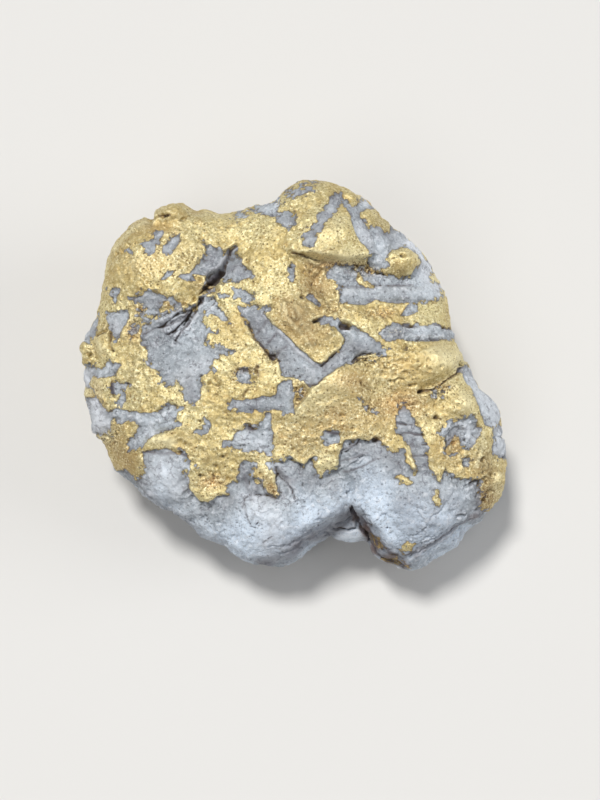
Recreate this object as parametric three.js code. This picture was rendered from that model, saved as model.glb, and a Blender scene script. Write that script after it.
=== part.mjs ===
// A gold nugget: one worn, slab-like lump of gold grown together with milky quartz.
// It lies on its back with the gold face up, on a flat worn patch. Millimetres, +Z up.
import * as THREE from "three";
import { mergeVertices } from "three/addons/utils/BufferGeometryUtils.js";

// ---------------------------------------------------------------- driving dimensions, in mm
const FACE_RISE = 22; // the middle of the gold face above the widest level of the stone
const BACK_DEPTH = 23; // the middle of the back below the widest level
const LEAN_DEG = 15; // the widest level slopes down to the front by this angle
const REST_HEIGHT = 19.5; // the face's centre point, on the widest level, above the floor
const CENTRE = [0, 4]; // the middle of the outline
const FACE_FULLNESS = 2.5; // 2 is an ellipsoid, more is a flatter face with a quicker rim
const BACK_FULLNESS = 2.7;
const SPHERE_DETAIL = 17; // rows of triangles along each edge of the starting icosahedron
const OUTLINE_EASE = 1.02; // what the smoothing takes off the outline is put on first
const OUTLINE_STEPS = 720; // points along the outline's smooth curve
const EVENING_PASSES = 6; // evens out the triangles before the swellings
const WEARING_PASSES = 5; // wears the swellings and grooves smooth
const SMOOTH_IN = 0.6; // share of the way to the middle of a point's neighbours
const SMOOTH_OUT = -0.62; // and back out again

// The widest outline, square-on to the gold face: [across, up], anticlockwise from the right.
const OUTLINE = [
  [51.5, -12], [48, -2], [42.5, 7], [38, 14], [37.5, 21], [34.5, 30], [27, 40.5],
  [22, 44], [17.5, 49.5], [9, 54.5], [2, 55], [-4, 52], [-10, 48], [-20, 47],
  [-28, 48], [-32, 49], [-38, 45.5], [-45, 41], [-49, 33], [-51, 22.5], [-54, 12.5],
  [-53, 3], [-50, -8], [-45, -17.5], [-33, -27.5], [-20, -34.5], [-8.5, -41],
  [0, -39.5], [8, -35], [17, -34.5], [22, -40], [28, -42.5], [38, -37.5],
  [46, -29.5], [51, -21],
];

// Swellings and hollows: the place and reach are across, up and out of the face.
// Push is how far the skin moves out, and a hollow's push is below zero.
const SWELLINGS = [
  { at: [-8.5, -31, 9], reach: [15, 10, 12], push: 5 }, // left foot of quartz
  { at: [32, -28, 10], reach: [13, 13, 13], push: 5 }, // right foot of quartz
  { at: [-34, -20, 11], reach: [10, 9, 9], push: 3 }, // round quartz cobble
  { at: [9, 39, 16], reach: [9, 7, 8], push: 3.2 }, // three-cornered gold plate
  { at: [8, 1, 20], reach: [11, 9, 9], push: 3.2 }, // big gold hump
  { at: [33, 8, 15], reach: [10, 6, 9], push: 3.6 }, // right-hand gold hump
  { at: [40, -3, 12], reach: [7, 5, 8], push: 2.6 }, // small hump below it
  { at: [-49, 13, 6], reach: [5, 6, 6], push: 1.6 }, // left rim hump, upper
  { at: [-49, 1, 5], reach: [5, 5, 6], push: 1.6 }, // left rim hump, lower
  { at: [-2, 16, 21], reach: [9, 8, 8], push: 1.5 }, // smooth gold plate
  { at: [-40, 33, 12], reach: [9, 9, 9], push: 1.6 }, // upper left shoulder
  { at: [-29, 12, 19], reach: [10, 9, 9], push: -2.2 }, // floor of the large quartz window
  { at: [13, 28, 19], reach: [15, 5, 9], push: -3.4 }, // shelf under the gold plate
  { at: [22, 22, 18], reach: [14, 7, 8], push: -1.4 }, // quartz bars sunk in the right side
  { at: [-44, 22, -6], reach: [12, 16, 12], push: -2.6 }, // flat worn on the left side
  { at: [44, 4, -10], reach: [14, 14, 12], push: -3 }, // flat worn on the right side
  { at: [6, 56, -8], reach: [20, 12, 12], push: -3 }, // flat worn on the top end
  { at: [-30, -30, -8], reach: [18, 10, 10], push: -2.4 }, // flat worn on the lower left
  { at: [-24, 40, -16], reach: [15, 14, 14], push: 2.6 }, // knob at the back, upper left
  { at: [30, -20, -18], reach: [14, 14, 12], push: 2.4 }, // knob at the back, lower right
];

// Grooves: from one point to another, with their half width and depth.
const GROOVES = [
  { from: [12.5, -22, 14], to: [13.5, -36, 4], width: 5.5, depth: 7 }, // between the feet
  { from: [-18, 38, 16], to: [-25, 19, 20], width: 4, depth: 4 }, // deep cleft
  { from: [19, 5, 19], to: [24, -9, 17], width: 4.5, depth: 3 }, // beside the big hump
  { from: [41, 6, 9], to: [31, 0, 18], width: 3.5, depth: 2.4 }, // crease between humps
  { from: [-13, 22, 21], to: [2, 7, 22], width: 3.5, depth: 2.2 }, // along the long bar
  { from: [-50, -6, -4], to: [-28, -30, -12], width: 6, depth: 2.4 }, // seam low on the left
  { from: [48, -6, -4], to: [40, 16, -14], width: 6, depth: 2.4 }, // seam on the right side
];

// ---------------------------------------------------------------- the starting shape

// The outline's distance from CENTRE in each direction, from a smooth closed curve.
function outlineReach() {
  const [cx, cy] = CENTRE;
  const points = OUTLINE.map(([x, y]) => new THREE.Vector3(x - cx, y - cy, 0));
  const curve = new THREE.CatmullRomCurve3(points, true, "centripetal");
  const samples = curve.getPoints(OUTLINE_STEPS)
    .slice(0, OUTLINE_STEPS)
    .map((p) => ({ angle: Math.atan2(p.y, p.x), reach: Math.hypot(p.x, p.y) }))
    .sort((a, b) => a.angle - b.angle);
  const turn = 2 * Math.PI;
  const first = samples[0];
  const last = samples[samples.length - 1];
  const ring = [
    { angle: last.angle - turn, reach: last.reach },
    ...samples,
    { angle: first.angle + turn, reach: first.reach },
  ];
  return (angle) => {
    const after = ring.findIndex((s) => s.angle >= angle);
    const a = ring[Math.max(after - 1, 0)];
    const b = ring[Math.max(after, 1)];
    const share = (angle - a.angle) / Math.max(b.angle - a.angle, 1e-9);
    return THREE.MathUtils.lerp(a.reach, b.reach, share);
  };
}

// A direction from the middle, carried out to the slab's skin.
function onSlab(direction, reach) {
  const { x, y, z } = direction;
  const fullness = z > 0 ? FACE_FULLNESS : BACK_FULLNESS;
  const level = Math.pow(Math.hypot(x, y), 2 / fullness);
  const out = level * OUTLINE_EASE * reach(Math.atan2(y, x));
  const flat = Math.hypot(x, y) || 1;
  const across = (out * x) / flat;
  const up = (out * y) / flat;
  const height = Math.pow(Math.abs(z), 2 / fullness);
  const lean = Math.tan(THREE.MathUtils.degToRad(LEAN_DEG));
  const back = BACK_DEPTH + lean * up;
  return new THREE.Vector3(
    across + CENTRE[0],
    up + CENTRE[1],
    z > 0 ? FACE_RISE * height : -back * height,
  );
}

// ---------------------------------------------------------------- swellings and grooves

// How much of a swelling's push a point gets: all at its middle, fading to nothing.
function swellingShare(point, { at, reach }) {
  const d2 = ["x", "y", "z"].reduce((sum, axis, i) => {
    const d = (point[axis] - at[i]) / reach[i];
    return sum + d * d;
  }, 0);
  return Math.exp(-d2);
}

function grooveShare(point, { from, to, width }) {
  const line = new THREE.Line3(new THREE.Vector3(...from), new THREE.Vector3(...to));
  const near = line.closestPointToPoint(point, true, new THREE.Vector3());
  return Math.exp(-Math.pow(near.distanceTo(point) / width, 2));
}

function pushAt(point) {
  const swelled = SWELLINGS.reduce((sum, s) => sum + s.push * swellingShare(point, s), 0);
  return GROOVES.reduce((sum, g) => sum - g.depth * grooveShare(point, g), swelled);
}

// ---------------------------------------------------------------- the stone

function neighboursOf(geometry) {
  const index = geometry.index.array;
  const count = geometry.getAttribute("position").count;
  const neighbours = Array.from({ length: count }, () => new Set());
  for (let i = 0; i < index.length; i += 3) {
    for (const [a, b] of [[0, 1], [1, 2], [2, 0]]) {
      neighbours[index[i + a]].add(index[i + b]);
      neighbours[index[i + b]].add(index[i + a]);
    }
  }
  return neighbours.map((set) => [...set]);
}

// Each point moves towards the middle of its neighbours, and then a little further back
// out, so that the skin gets smooth and the stone doesn't shrink.
function wearSmooth(geometry, passes) {
  const position = geometry.getAttribute("position");
  const neighbours = neighboursOf(geometry);
  const middle = new THREE.Vector3();
  const point = new THREE.Vector3();
  for (let pass = 0; pass < passes; pass++) {
    for (const share of [SMOOTH_IN, SMOOTH_OUT]) {
      const before = position.clone();
      neighbours.forEach((near, i) => {
        middle.set(0, 0, 0);
        near.forEach((j) => middle.add(point.fromBufferAttribute(before, j)));
        middle.divideScalar(near.length);
        point.fromBufferAttribute(before, i).lerp(middle, share);
        position.setXYZ(i, point.x, point.y, point.z);
      });
    }
  }
}

function slabGeometry() {
  const ball = new THREE.IcosahedronGeometry(1, SPHERE_DETAIL);
  ball.deleteAttribute("normal");
  ball.deleteAttribute("uv");
  const geometry = mergeVertices(ball, 1e-5);
  const reach = outlineReach();
  const position = geometry.getAttribute("position");
  const point = new THREE.Vector3();
  for (let i = 0; i < position.count; i++) {
    const placed = onSlab(point.fromBufferAttribute(position, i), reach);
    position.setXYZ(i, placed.x, placed.y, placed.z);
  }
  return geometry;
}

function pushOut(geometry) {
  geometry.computeVertexNormals();
  const position = geometry.getAttribute("position");
  const normal = geometry.getAttribute("normal");
  const point = new THREE.Vector3();
  const outward = new THREE.Vector3();
  for (let i = 0; i < position.count; i++) {
    point.fromBufferAttribute(position, i);
    outward.fromBufferAttribute(normal, i);
    point.addScaledVector(outward, pushAt(point));
    position.setXYZ(i, point.x, point.y, point.z);
  }
  geometry.deleteAttribute("normal");
}

function stoneGeometry() {
  const geometry = slabGeometry();
  wearSmooth(geometry, EVENING_PASSES);
  pushOut(geometry);
  wearSmooth(geometry, WEARING_PASSES);
  geometry.rotateX(THREE.MathUtils.degToRad(LEAN_DEG));
  geometry.translate(0, 0, REST_HEIGHT);
  return geometry;
}

// The back is worn down flat at the floor, so the stone rests there.
function wearBackFlat(geometry) {
  const position = geometry.getAttribute("position");
  for (let i = 0; i < position.count; i++) {
    position.setZ(i, Math.max(position.getZ(i), 0));
  }
}

function nugget() {
  const geometry = stoneGeometry();
  wearBackFlat(geometry);
  geometry.computeBoundingBox();
  const middle = geometry.boundingBox.getCenter(new THREE.Vector3());
  geometry.translate(-middle.x, -middle.y, 0);
  geometry.computeVertexNormals();
  const material = new THREE.MeshStandardMaterial({
    color: 0xcdb26a,
    roughness: 0.5,
    metalness: 0.8,
  });
  const mesh = new THREE.Mesh(geometry, material);
  mesh.name = "nugget";
  return mesh;
}

const part = new THREE.Group();
part.add(nugget());

export default part;
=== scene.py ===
"""A gold nugget grown together with milky quartz, lying on its back with the gold face up."""
import math
import random
from collections import namedtuple

import bpy
import numpy as np
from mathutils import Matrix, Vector, noise


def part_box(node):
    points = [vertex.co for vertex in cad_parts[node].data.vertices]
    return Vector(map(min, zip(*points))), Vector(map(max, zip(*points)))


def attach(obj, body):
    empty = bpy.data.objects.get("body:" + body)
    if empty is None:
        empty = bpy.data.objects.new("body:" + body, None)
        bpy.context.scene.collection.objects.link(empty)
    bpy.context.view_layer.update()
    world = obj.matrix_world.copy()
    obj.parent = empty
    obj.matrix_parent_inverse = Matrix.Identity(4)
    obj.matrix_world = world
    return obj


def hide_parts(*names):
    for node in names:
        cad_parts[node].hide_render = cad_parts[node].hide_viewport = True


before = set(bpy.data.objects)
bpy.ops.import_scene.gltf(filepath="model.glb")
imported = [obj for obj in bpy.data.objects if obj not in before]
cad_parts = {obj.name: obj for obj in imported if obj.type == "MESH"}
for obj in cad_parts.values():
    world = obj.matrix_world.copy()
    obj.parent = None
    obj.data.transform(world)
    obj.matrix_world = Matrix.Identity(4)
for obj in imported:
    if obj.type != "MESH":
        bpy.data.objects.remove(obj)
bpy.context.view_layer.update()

MM = 0.001  # in metres
NOISE_SEED = 3  # for every smooth random number on the stone
noise.seed_set(NOISE_SEED)

# ------------------------------------------------------------------ the eye and the gold face
# Places on the gold face are millimetres across and up, on a sheet square to the eye.
# A mark on the sheet is carried to the stone along the line of sight.
LOOK_DOWN = math.radians(75)
LENS = 80.0
SENSOR = 36.0
EYE_DISTANCE = 444.0  # mm, from the sheet
SHEET_OFFSET = Vector((1.0, -8.8, 5.1))  # mm, from the middle of the stone's box

stone_middle = sum(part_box("nugget"), Vector()) / 2 / MM
sheet_middle = stone_middle + SHEET_OFFSET
to_eye = Vector((0, -math.cos(LOOK_DOWN), math.sin(LOOK_DOWN)))
sheet_up = Vector((0, math.sin(LOOK_DOWN), math.cos(LOOK_DOWN)))
eye = sheet_middle + to_eye * EYE_DISTANCE


def make_camera():
    bpy.ops.object.camera_add(location=eye * MM, rotation=(math.pi / 2 - LOOK_DOWN, 0, 0))
    camera = bpy.context.object
    camera.name = "camera"
    camera.data.lens = LENS
    camera.data.sensor_width = SENSOR
    bpy.context.scene.camera = camera


make_camera()

# ------------------------------------------------------------------ what shows on the gold face
# A window is quartz in the gold, or a pit in it: how deep its floor lies at the edge, how far
# the floor swells up again, how far in from the edge it takes to do so, and its outline.
Window = namedtuple("Window", "floor crown run outline")

WINDOWS = [Window(*row) for row in (
    # upper left: twin windows, slivers and a chip
    (0.7, 0.3, 1.5, [
        (-36.2, 42), (-34.4, 41.9), (-34.3, 40.5), (-35.5, 38.5), (-36.3, 36.6), (-38.5, 36.2),
        (-39, 38), (-38.5, 39.8), (-37, 40.4),
    ]),
    (0.7, 0.3, 1.5, [
        (-31.9, 41.2), (-30.2, 41.3), (-29.6, 40.3), (-30.6, 39.4), (-31, 37.6), (-32.4, 36.7),
        (-34, 37), (-34.3, 38.3), (-32.6, 39.8),
    ]),
    (0.5, 0.2, 0.6, [(-35, 29.7), (-34, 31.1), (-32.6, 32.1), (-31, 32.5), (-31.6, 31.4), (-33.5, 30)]),
    (0.6, 0.3, 0.8, [
        (-30.4, 30.8), (-29.4, 31.8), (-27.5, 31.6), (-26.2, 31), (-26, 29.6), (-28.3, 29.8),
    ]),
    (0.5, 0.2, 0.6, [
        (-47.1, 27.2), (-46.3, 28), (-45.3, 27.7), (-45.8, 26), (-46.3, 23.6), (-46.8, 25.5),
    ]),
    (0.5, 0.2, 0.5, [(-43.2, 37.4), (-42, 37.3), (-41.9, 36.2), (-43, 36.1)]),
    # the split patch, on both sides of the deep cleft
    (0.7, 0.5, 2.0, [
        (-25, 40), (-23.8, 39.6), (-22.4, 38.3), (-20.5, 37.6), (-18.9, 36.9), (-17.6, 37.8),
        (-16, 38.8), (-15.8, 37), (-14.8, 35.5), (-14.6, 34.2), (-12.3, 32.6), (-11.2, 30.9),
        (-14.5, 30), (-16, 29.4), (-17.5, 30.1), (-19.3, 28.6), (-19.6, 31), (-22.8, 29), (-23.8, 31),
        (-25.5, 31.5), (-27.5, 31.6), (-26.4, 33.2), (-25.6, 34.9), (-24.2, 35.5), (-23.4, 37),
        (-24, 38.8),
    ]),
    (2.6, 0.0, 0.9, [
        (-18.8, 33.6), (-20.4, 33.2), (-22.8, 32), (-23.5, 30.4), (-23, 28.8), (-21.6, 28.8),
        (-20.4, 30.4), (-19.2, 32),
    ]),
    (1.8, 0.0, 0.8, [
        (-25.4, 25.2), (-24.4, 26), (-23.6, 26.4), (-23.8, 24.8), (-24.4, 23.8), (-25.3, 23.8),
    ]),
    # top edge and the strips by it
    (0.8, 0.4, 1.6, [
        (-12.8, 47.6), (-10.4, 48.6), (-8.4, 50), (-5.4, 50.4), (-5, 48.6), (-5.7, 47.4), (-3.8, 47.3),
        (-3, 47.8), (-1, 47), (-1, 44.8), (-1.7, 43.4), (-4.8, 43.2), (-6, 44.6), (-5.4, 45.8),
        (-8, 46.1), (-11, 46.7),
    ]),
    (0.6, 0.3, 0.9, [
        (-3.7, 51.4), (-2.2, 52.2), (1.6, 52.8), (3.4, 52.9), (3.9, 52.3), (0.6, 51.2), (-1.5, 50.4),
        (-3.6, 50.2),
    ]),
    (0.5, 0.2, 0.7, [(2.4, 54.5), (3.5, 55.2), (5.7, 54.7), (4.6, 54), (3, 53.7)]),
    (0.5, 0.2, 0.7, [(-16.2, 47.4), (-14, 47.6), (-13.6, 46.2), (-15, 45.2), (-16, 45.8)]),
    # the three-cornered plate: its left leg, and the quartz down its right side to the rim
    (0.8, 0.3, 1.2, [
        (8.4, 51.9), (10.2, 51.7), (10.8, 51), (10.4, 49.4), (8.7, 46.6), (7, 44.8), (5, 41.5),
        (3.9, 40), (3.5, 38.3), (2, 37.6), (0.9, 38.3), (0.6, 40), (1.8, 42), (4.3, 45.3), (6.2, 48.4),
        (7.6, 50.2),
    ]),
    (0.8, 0.3, 2.2, [
        (10.2, 51.5), (12, 50.6), (13.8, 49.6), (15, 50.6), (17.5, 50.6), (18.5, 48.5), (22, 44.5),
        (24.5, 42.5), (28, 41), (31, 38.5), (34, 34.5), (36.5, 29.5), (37.5, 26), (35, 25.4),
        (31.5, 24.6), (29.5, 24), (26, 24.2), (20.6, 24.6), (19, 25), (16.3, 24), (12, 24.1),
        (10, 24.3), (9.5, 26.4), (9.9, 28), (9.4, 29.4), (7.5, 30.4), (6.4, 32), (8.3, 33.2),
        (10.5, 33.3), (15, 33.6), (17.8, 36), (15.8, 38.4), (13.6, 42), (12.4, 46.6), (11, 48.4),
        (10.4, 49.6),
    ]),
    (0.5, 0.3, 0.9, [(-2.7, 34.2), (-1.5, 34.3), (-1.1, 31), (-1.7, 29.2), (-2.5, 28.9), (-2.8, 31.5)]),
    (0.8, 0.3, 1.0, [
        (1.3, 25.8), (2.6, 26.9), (3.7, 26.4), (4.3, 25), (5.6, 24.2), (5, 23.2), (3.5, 24.3), (2, 25),
    ]),
    (0.7, 0.4, 1.0, [
        (25.2, 21.5), (26.2, 22.3), (26.7, 23.6), (28.6, 24.2), (29.7, 23.6), (29.2, 22.3),
        (27.6, 21.3), (26.2, 21),
    ]),
    # the second bar on the right, running out over the rim
    (0.8, 0.4, 1.5, [
        (19.6, 16.6), (21.8, 18.7), (24, 19.4), (26, 18.9), (28.2, 18.7), (29.2, 19.5), (31.5, 18.4),
        (33.3, 19.2), (35.4, 18.1), (39, 17.6), (39.5, 15.4), (36.4, 14.7), (31, 14.6), (28, 14.8),
        (24.5, 15), (21.2, 14.6), (20.3, 15.9),
    ]),
    # the long bar, the foot of the vee and its right leg
    (1.1, 1.0, 2.6, [
        (-15.7, 23.6), (-14.6, 23.4), (-13.3, 23.1), (-13, 24.3), (-11.7, 24.1), (-10, 23.1),
        (-6.5, 23.8), (-7.2, 22.6), (-9.1, 21.7), (-7, 19), (-4.6, 17.4), (-1, 13.6), (2, 11),
        (3.6, 9.5), (5.5, 9), (8, 11.2), (10.5, 12.8), (11.4, 15), (10.4, 17), (9, 17.8), (5.3, 19.2),
        (3.6, 19.7), (6, 20.9), (9.3, 20.4), (13.2, 18.8), (14.8, 18), (18, 15.5), (20.7, 13.8),
        (22, 12.3), (20.6, 11.3), (17.2, 11.6), (14.6, 10.6), (13.2, 9.2), (9, 7.7), (6, 5.2), (4.4, 4),
        (1.9, 3.8), (1.2, 4.7), (-1.4, 5.7), (-4.6, 6.2), (-5, 8.6), (-5.6, 10.3), (-9.7, 13.6),
        (-12.2, 17.2), (-13.6, 19.4), (-15.2, 22),
    ]),
    # left half: blade, comb, lens and the large plate
    (0.8, 0.4, 1.4, [
        (-47.9, 21.6), (-46.6, 22.4), (-43, 22.2), (-42.5, 21.2), (-44.4, 17.2), (-46, 14.4),
        (-47.3, 16.8), (-47.8, 19),
    ]),
    (0.9, 0.5, 1.3, [
        (-42.9, 25.3), (-40, 26.3), (-39.7, 27.6), (-36, 27), (-34.4, 26.2), (-31.4, 25.7),
        (-30.3, 24.3), (-29.5, 23.3), (-30, 22.5), (-31.4, 22.6), (-34.8, 22), (-36.5, 21.9),
        (-38.2, 22.3), (-40.7, 24.3),
    ]),
    (0.5, 0.3, 1.5, [
        (-39.4, 16.6), (-38, 18.6), (-36.4, 20.4), (-34, 21.6), (-29, 22.8), (-25.6, 23.6), (-25, 21),
        (-30, 17.4), (-35, 15.6),
    ]),
    (0.6, 0.2, 0.8, [
        (-40.2, 24), (-40.8, 21.4), (-39.8, 19.6), (-39.8, 17.2), (-38.6, 17), (-37, 19.6),
        (-34.6, 21.4), (-34.8, 22.6), (-36.8, 22.4), (-39, 23.8),
    ]),
    (1.2, 1.2, 1.5, [
        (-37, 19.4), (-35.5, 20.9), (-34, 21.6), (-29, 22.4), (-30.5, 21.2), (-32.5, 19.7),
        (-34.4, 18.4), (-36.6, 18.3),
    ]),
    (0.9, 0.3, 2.4, [
        (-40, 16.9), (-36.5, 17.2), (-34.2, 17.8), (-31.6, 19.6), (-28.8, 21.6), (-27, 21.2),
        (-24.8, 24), (-23, 25.4), (-21.3, 26), (-20.2, 23.2), (-17.6, 20.2), (-18, 19.3), (-19, 19.2),
        (-21.3, 21.4), (-24.5, 21.2), (-24.5, 19.6), (-23.4, 17.7), (-20.8, 17.4), (-23.5, 16.4),
        (-23.5, 13.8), (-22, 13.6), (-18.8, 12.4), (-16, 12.2), (-18, 11.4), (-21.3, 10.5),
        (-22.6, 8.2), (-20.6, 7), (-24.3, 6.4), (-24.4, 3), (-25.6, 0.4), (-26.5, -1), (-28.2, -1.2),
        (-29.8, 1), (-30, 3.7), (-31, 4.2), (-33.3, 2.8), (-35.2, 5.8), (-38.3, 10), (-37.8, 11.9),
        (-39.9, 14),
    ]),
    (0.6, 0.2, 1.0, [(-42.3, 19.2), (-40.3, 18.5), (-41.4, 16.3), (-42.8, 15.2), (-43.1, 16.3)]),
    (0.6, 0.3, 0.9, [
        (-20.3, 26.4), (-17, 26.5), (-16.8, 28), (-15, 28.1), (-13.5, 27), (-11.2, 26.7), (-11.9, 24.5),
        (-13.4, 24.6), (-16, 25.6), (-20, 25.6),
    ]),
    (0.5, 0.2, 0.6, [(-24.2, 28), (-22, 28.3), (-21.5, 27.2), (-23, 26.8)]),
    # left rim: the outer sliver, the heart and what hangs below it
    (0.7, 0.5, 1.4, [(-50.8, 21.8), (-50.5, 19.6), (-51, 16), (-52.2, 14), (-56, 14), (-56, 20)]),
    (0.9, 0.7, 1.4, [
        (-51.5, 8.3), (-49.6, 8.3), (-48.8, 9.6), (-48, 10), (-46.8, 9.2), (-45, 9.1), (-45.8, 7),
        (-46.3, 5.9), (-50.5, 5.6), (-51.9, 6), (-52.4, 4), (-50.4, 0.6), (-47.8, -2.8), (-46.8, -5),
        (-47.4, -7.8), (-49, -8.4), (-54, -8), (-58, 4), (-54, 9),
    ]),
    (0.8, 0.3, 1.0, [
        (-46.9, 3.4), (-46, 4.9), (-44.6, 4.2), (-42.6, 4.2), (-42.5, 3.5), (-44.1, 2.6), (-43.7, -0.2),
        (-44.6, -1.8), (-45.7, -1.6), (-45.1, 1.4), (-46.4, 2),
    ]),
    (0.6, 0.4, 1.2, [
        (-44.5, -17), (-43.4, -17.3), (-42, -18.6), (-40.9, -20.6), (-42, -24), (-47, -19),
    ]),
    # the forked bar, lower left
    (1.1, 0.9, 1.8, [
        (-48.6, -3.4), (-46, -2.4), (-42.2, -2.7), (-38.2, -3.5), (-36.9, -3.6), (-36, -2.9),
        (-33, -1.2), (-31.6, -0.9), (-30.6, -1.9), (-29.1, -2), (-30.8, -3.6), (-31, -5.2),
        (-29.8, -6.3), (-33.5, -8.2), (-36.9, -8.8), (-38.8, -11), (-39.9, -12.2), (-42.8, -13),
        (-43, -10), (-40.6, -7.6), (-40.3, -6.2), (-42, -5.3), (-45, -6), (-48, -5.2),
    ]),
    # the middle: chip, ell, eye and small ones
    (0.5, 0.3, 1.2, [
        (-16, 6.6), (-15, 7.9), (-13.4, 7.8), (-12.2, 6.8), (-11.6, 5), (-12.6, 4.1), (-15, 4.2),
        (-15.9, 5.2),
    ]),
    (0.6, 0.2, 1.3, [
        (-18.4, -1), (-17.2, -0.2), (-12.5, 0.1), (-9, 0.9), (-5.9, 1), (-5.6, 3.7), (-4.6, 4.6),
        (-2, 5.3), (-1.7, 3), (-1.8, -3.2), (-3.5, -3.3), (-5.5, -2.7), (-10.4, -3), (-15.5, -2.8),
        (-17.5, -2.1),
    ]),
    (0.6, 0.9, 3.0, [
        (-16.4, -7.8), (-14.4, -7.2), (-13.6, -5.9), (-12.2, -6), (-11.3, -7.3), (-10.1, -6.6),
        (-9, -3.1), (-7.2, -3.3), (-6.9, -8), (-6.6, -12), (-6.9, -14.4), (-9, -12.9), (-12.5, -12.9),
        (-15.8, -12.7), (-17.6, -12), (-19.3, -11.8), (-19.2, -10.2), (-17, -10.2),
    ]),
    (0.7, 0.3, 0.8, [
        (-26.5, -7.6), (-24.6, -7.2), (-23.4, -5.8), (-24, -4.4), (-22.4, -5.2), (-22.2, -7.2),
        (-23.6, -8.6), (-26, -8.2),
    ]),
    (0.8, 0.4, 1.1, [
        (5.2, -9.4), (7, -7.8), (9.4, -7.5), (10.3, -9.4), (9.4, -11), (6.2, -11.8), (5.9, -10.4),
    ]),
    (0.5, 0.2, 0.6, [(14.5, 0.9), (15.8, 0.1), (17.6, -2.1), (20, -2.9), (18.4, -3.6), (16.4, -1.8)]),
    # right half: the ribbed window, the hollow by the rim and the rim itself
    (0.8, 0.4, 2.0, [
        (25.8, -1), (27.4, -2.8), (29, -5.5), (30.8, -8.8), (32, -12.8), (31.9, -16), (33.6, -18.4),
        (34.6, -22), (30, -24), (28.6, -21), (29, -17), (27.2, -13.2), (25.6, -9.3), (24, -8.2),
        (24.1, -6), (23.8, -4), (25, -2),
    ]),
    (1.0, 0.4, 1.6, [
        (34.6, -8), (35.6, -6.4), (37.5, -5), (41.5, -4.1), (43, -4), (45, -7.2), (44.2, -10.4),
        (42.6, -12.6), (40.4, -12.2), (39.4, -13.4), (37.6, -14.2), (36, -13.2), (36.6, -10.2),
    ]),
    (0.3, 0.4, 0.5, [(33.1, 2.3), (34.6, 2.1), (34.5, 0.8), (33.3, 0.8)]),
    (0.3, 0.4, 0.5, [(34.9, 2.7), (36.1, 2.8), (35.9, 1.6), (35, 1.5)]),
    (0.7, 0.3, 0.9, [(41, -14.3), (42.6, -14.4), (42.9, -15.8), (42, -17), (41, -16.4)]),
    (0.9, 0.5, 1.6, [
        (39.3, 7.8), (41, 8.6), (46, 7), (52, -6), (49, -6.5), (46.4, -6.6), (44.6, -2.8), (43.8, -0.8),
        (42.3, 2.6), (40.6, 5),
    ]),
    (0.8, 0.6, 1.6, [
        (47.8, -6.2), (50, -6), (55, -8), (55, -14.4), (49.6, -14.6), (48.2, -13.6), (47.9, -10),
    ]),
    # the whole lower end
    (1.2, 1.1, 3.0, [
        (-39.7, -13), (-36.5, -12.5), (-33.5, -12.2), (-28.3, -13), (-28.1, -15), (-26, -16.3),
        (-27.9, -17.3), (-28.1, -20), (-27.5, -22), (-25.3, -25.4), (-22.4, -25.7), (-20.4, -24),
        (-18, -23.8), (-18.6, -21.4), (-15.7, -20.2), (-15.3, -17.4), (-14.5, -15.4), (-12, -14.8),
        (-10.8, -15.2), (-11.2, -17), (-12.4, -19), (-10, -20.2), (-8.4, -23.4), (-5.6, -24.4),
        (-5, -23.4), (-6, -20.4), (-6.3, -17.8), (-8.3, -16), (-7, -14.8), (-3.8, -16), (-2.8, -14.2),
        (-0.2, -15.6), (1.2, -17), (2.4, -15), (3.6, -14.3), (4, -18.6), (5, -19.8), (6.6, -18),
        (9.6, -17.4), (9.9, -13.6), (11, -10.2), (15, -10.1), (20.2, -10), (22.1, -12.9), (24.6, -13),
        (26, -11.8), (26.4, -15.4), (28.9, -18.2), (32, -17), (35.2, -20.9), (36.4, -17.4),
        (38.2, -18.9), (41, -19.6), (45.2, -19.9), (44.9, -23.2), (45.3, -25), (44.9, -26.3),
        (46.4, -27.6), (52, -28), (52, -48), (-20, -48), (-46, -26), (-41, -21), (-39.3, -17.6),
        (-39.2, -15),
    ]),
)]
LOWER_QUARTZ = WINDOWS[-1]  # the whole lower end

# Gold left standing inside the quartz: how far it stands up, and its outline.
Flake = namedtuple("Flake", "rise outline")

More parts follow.
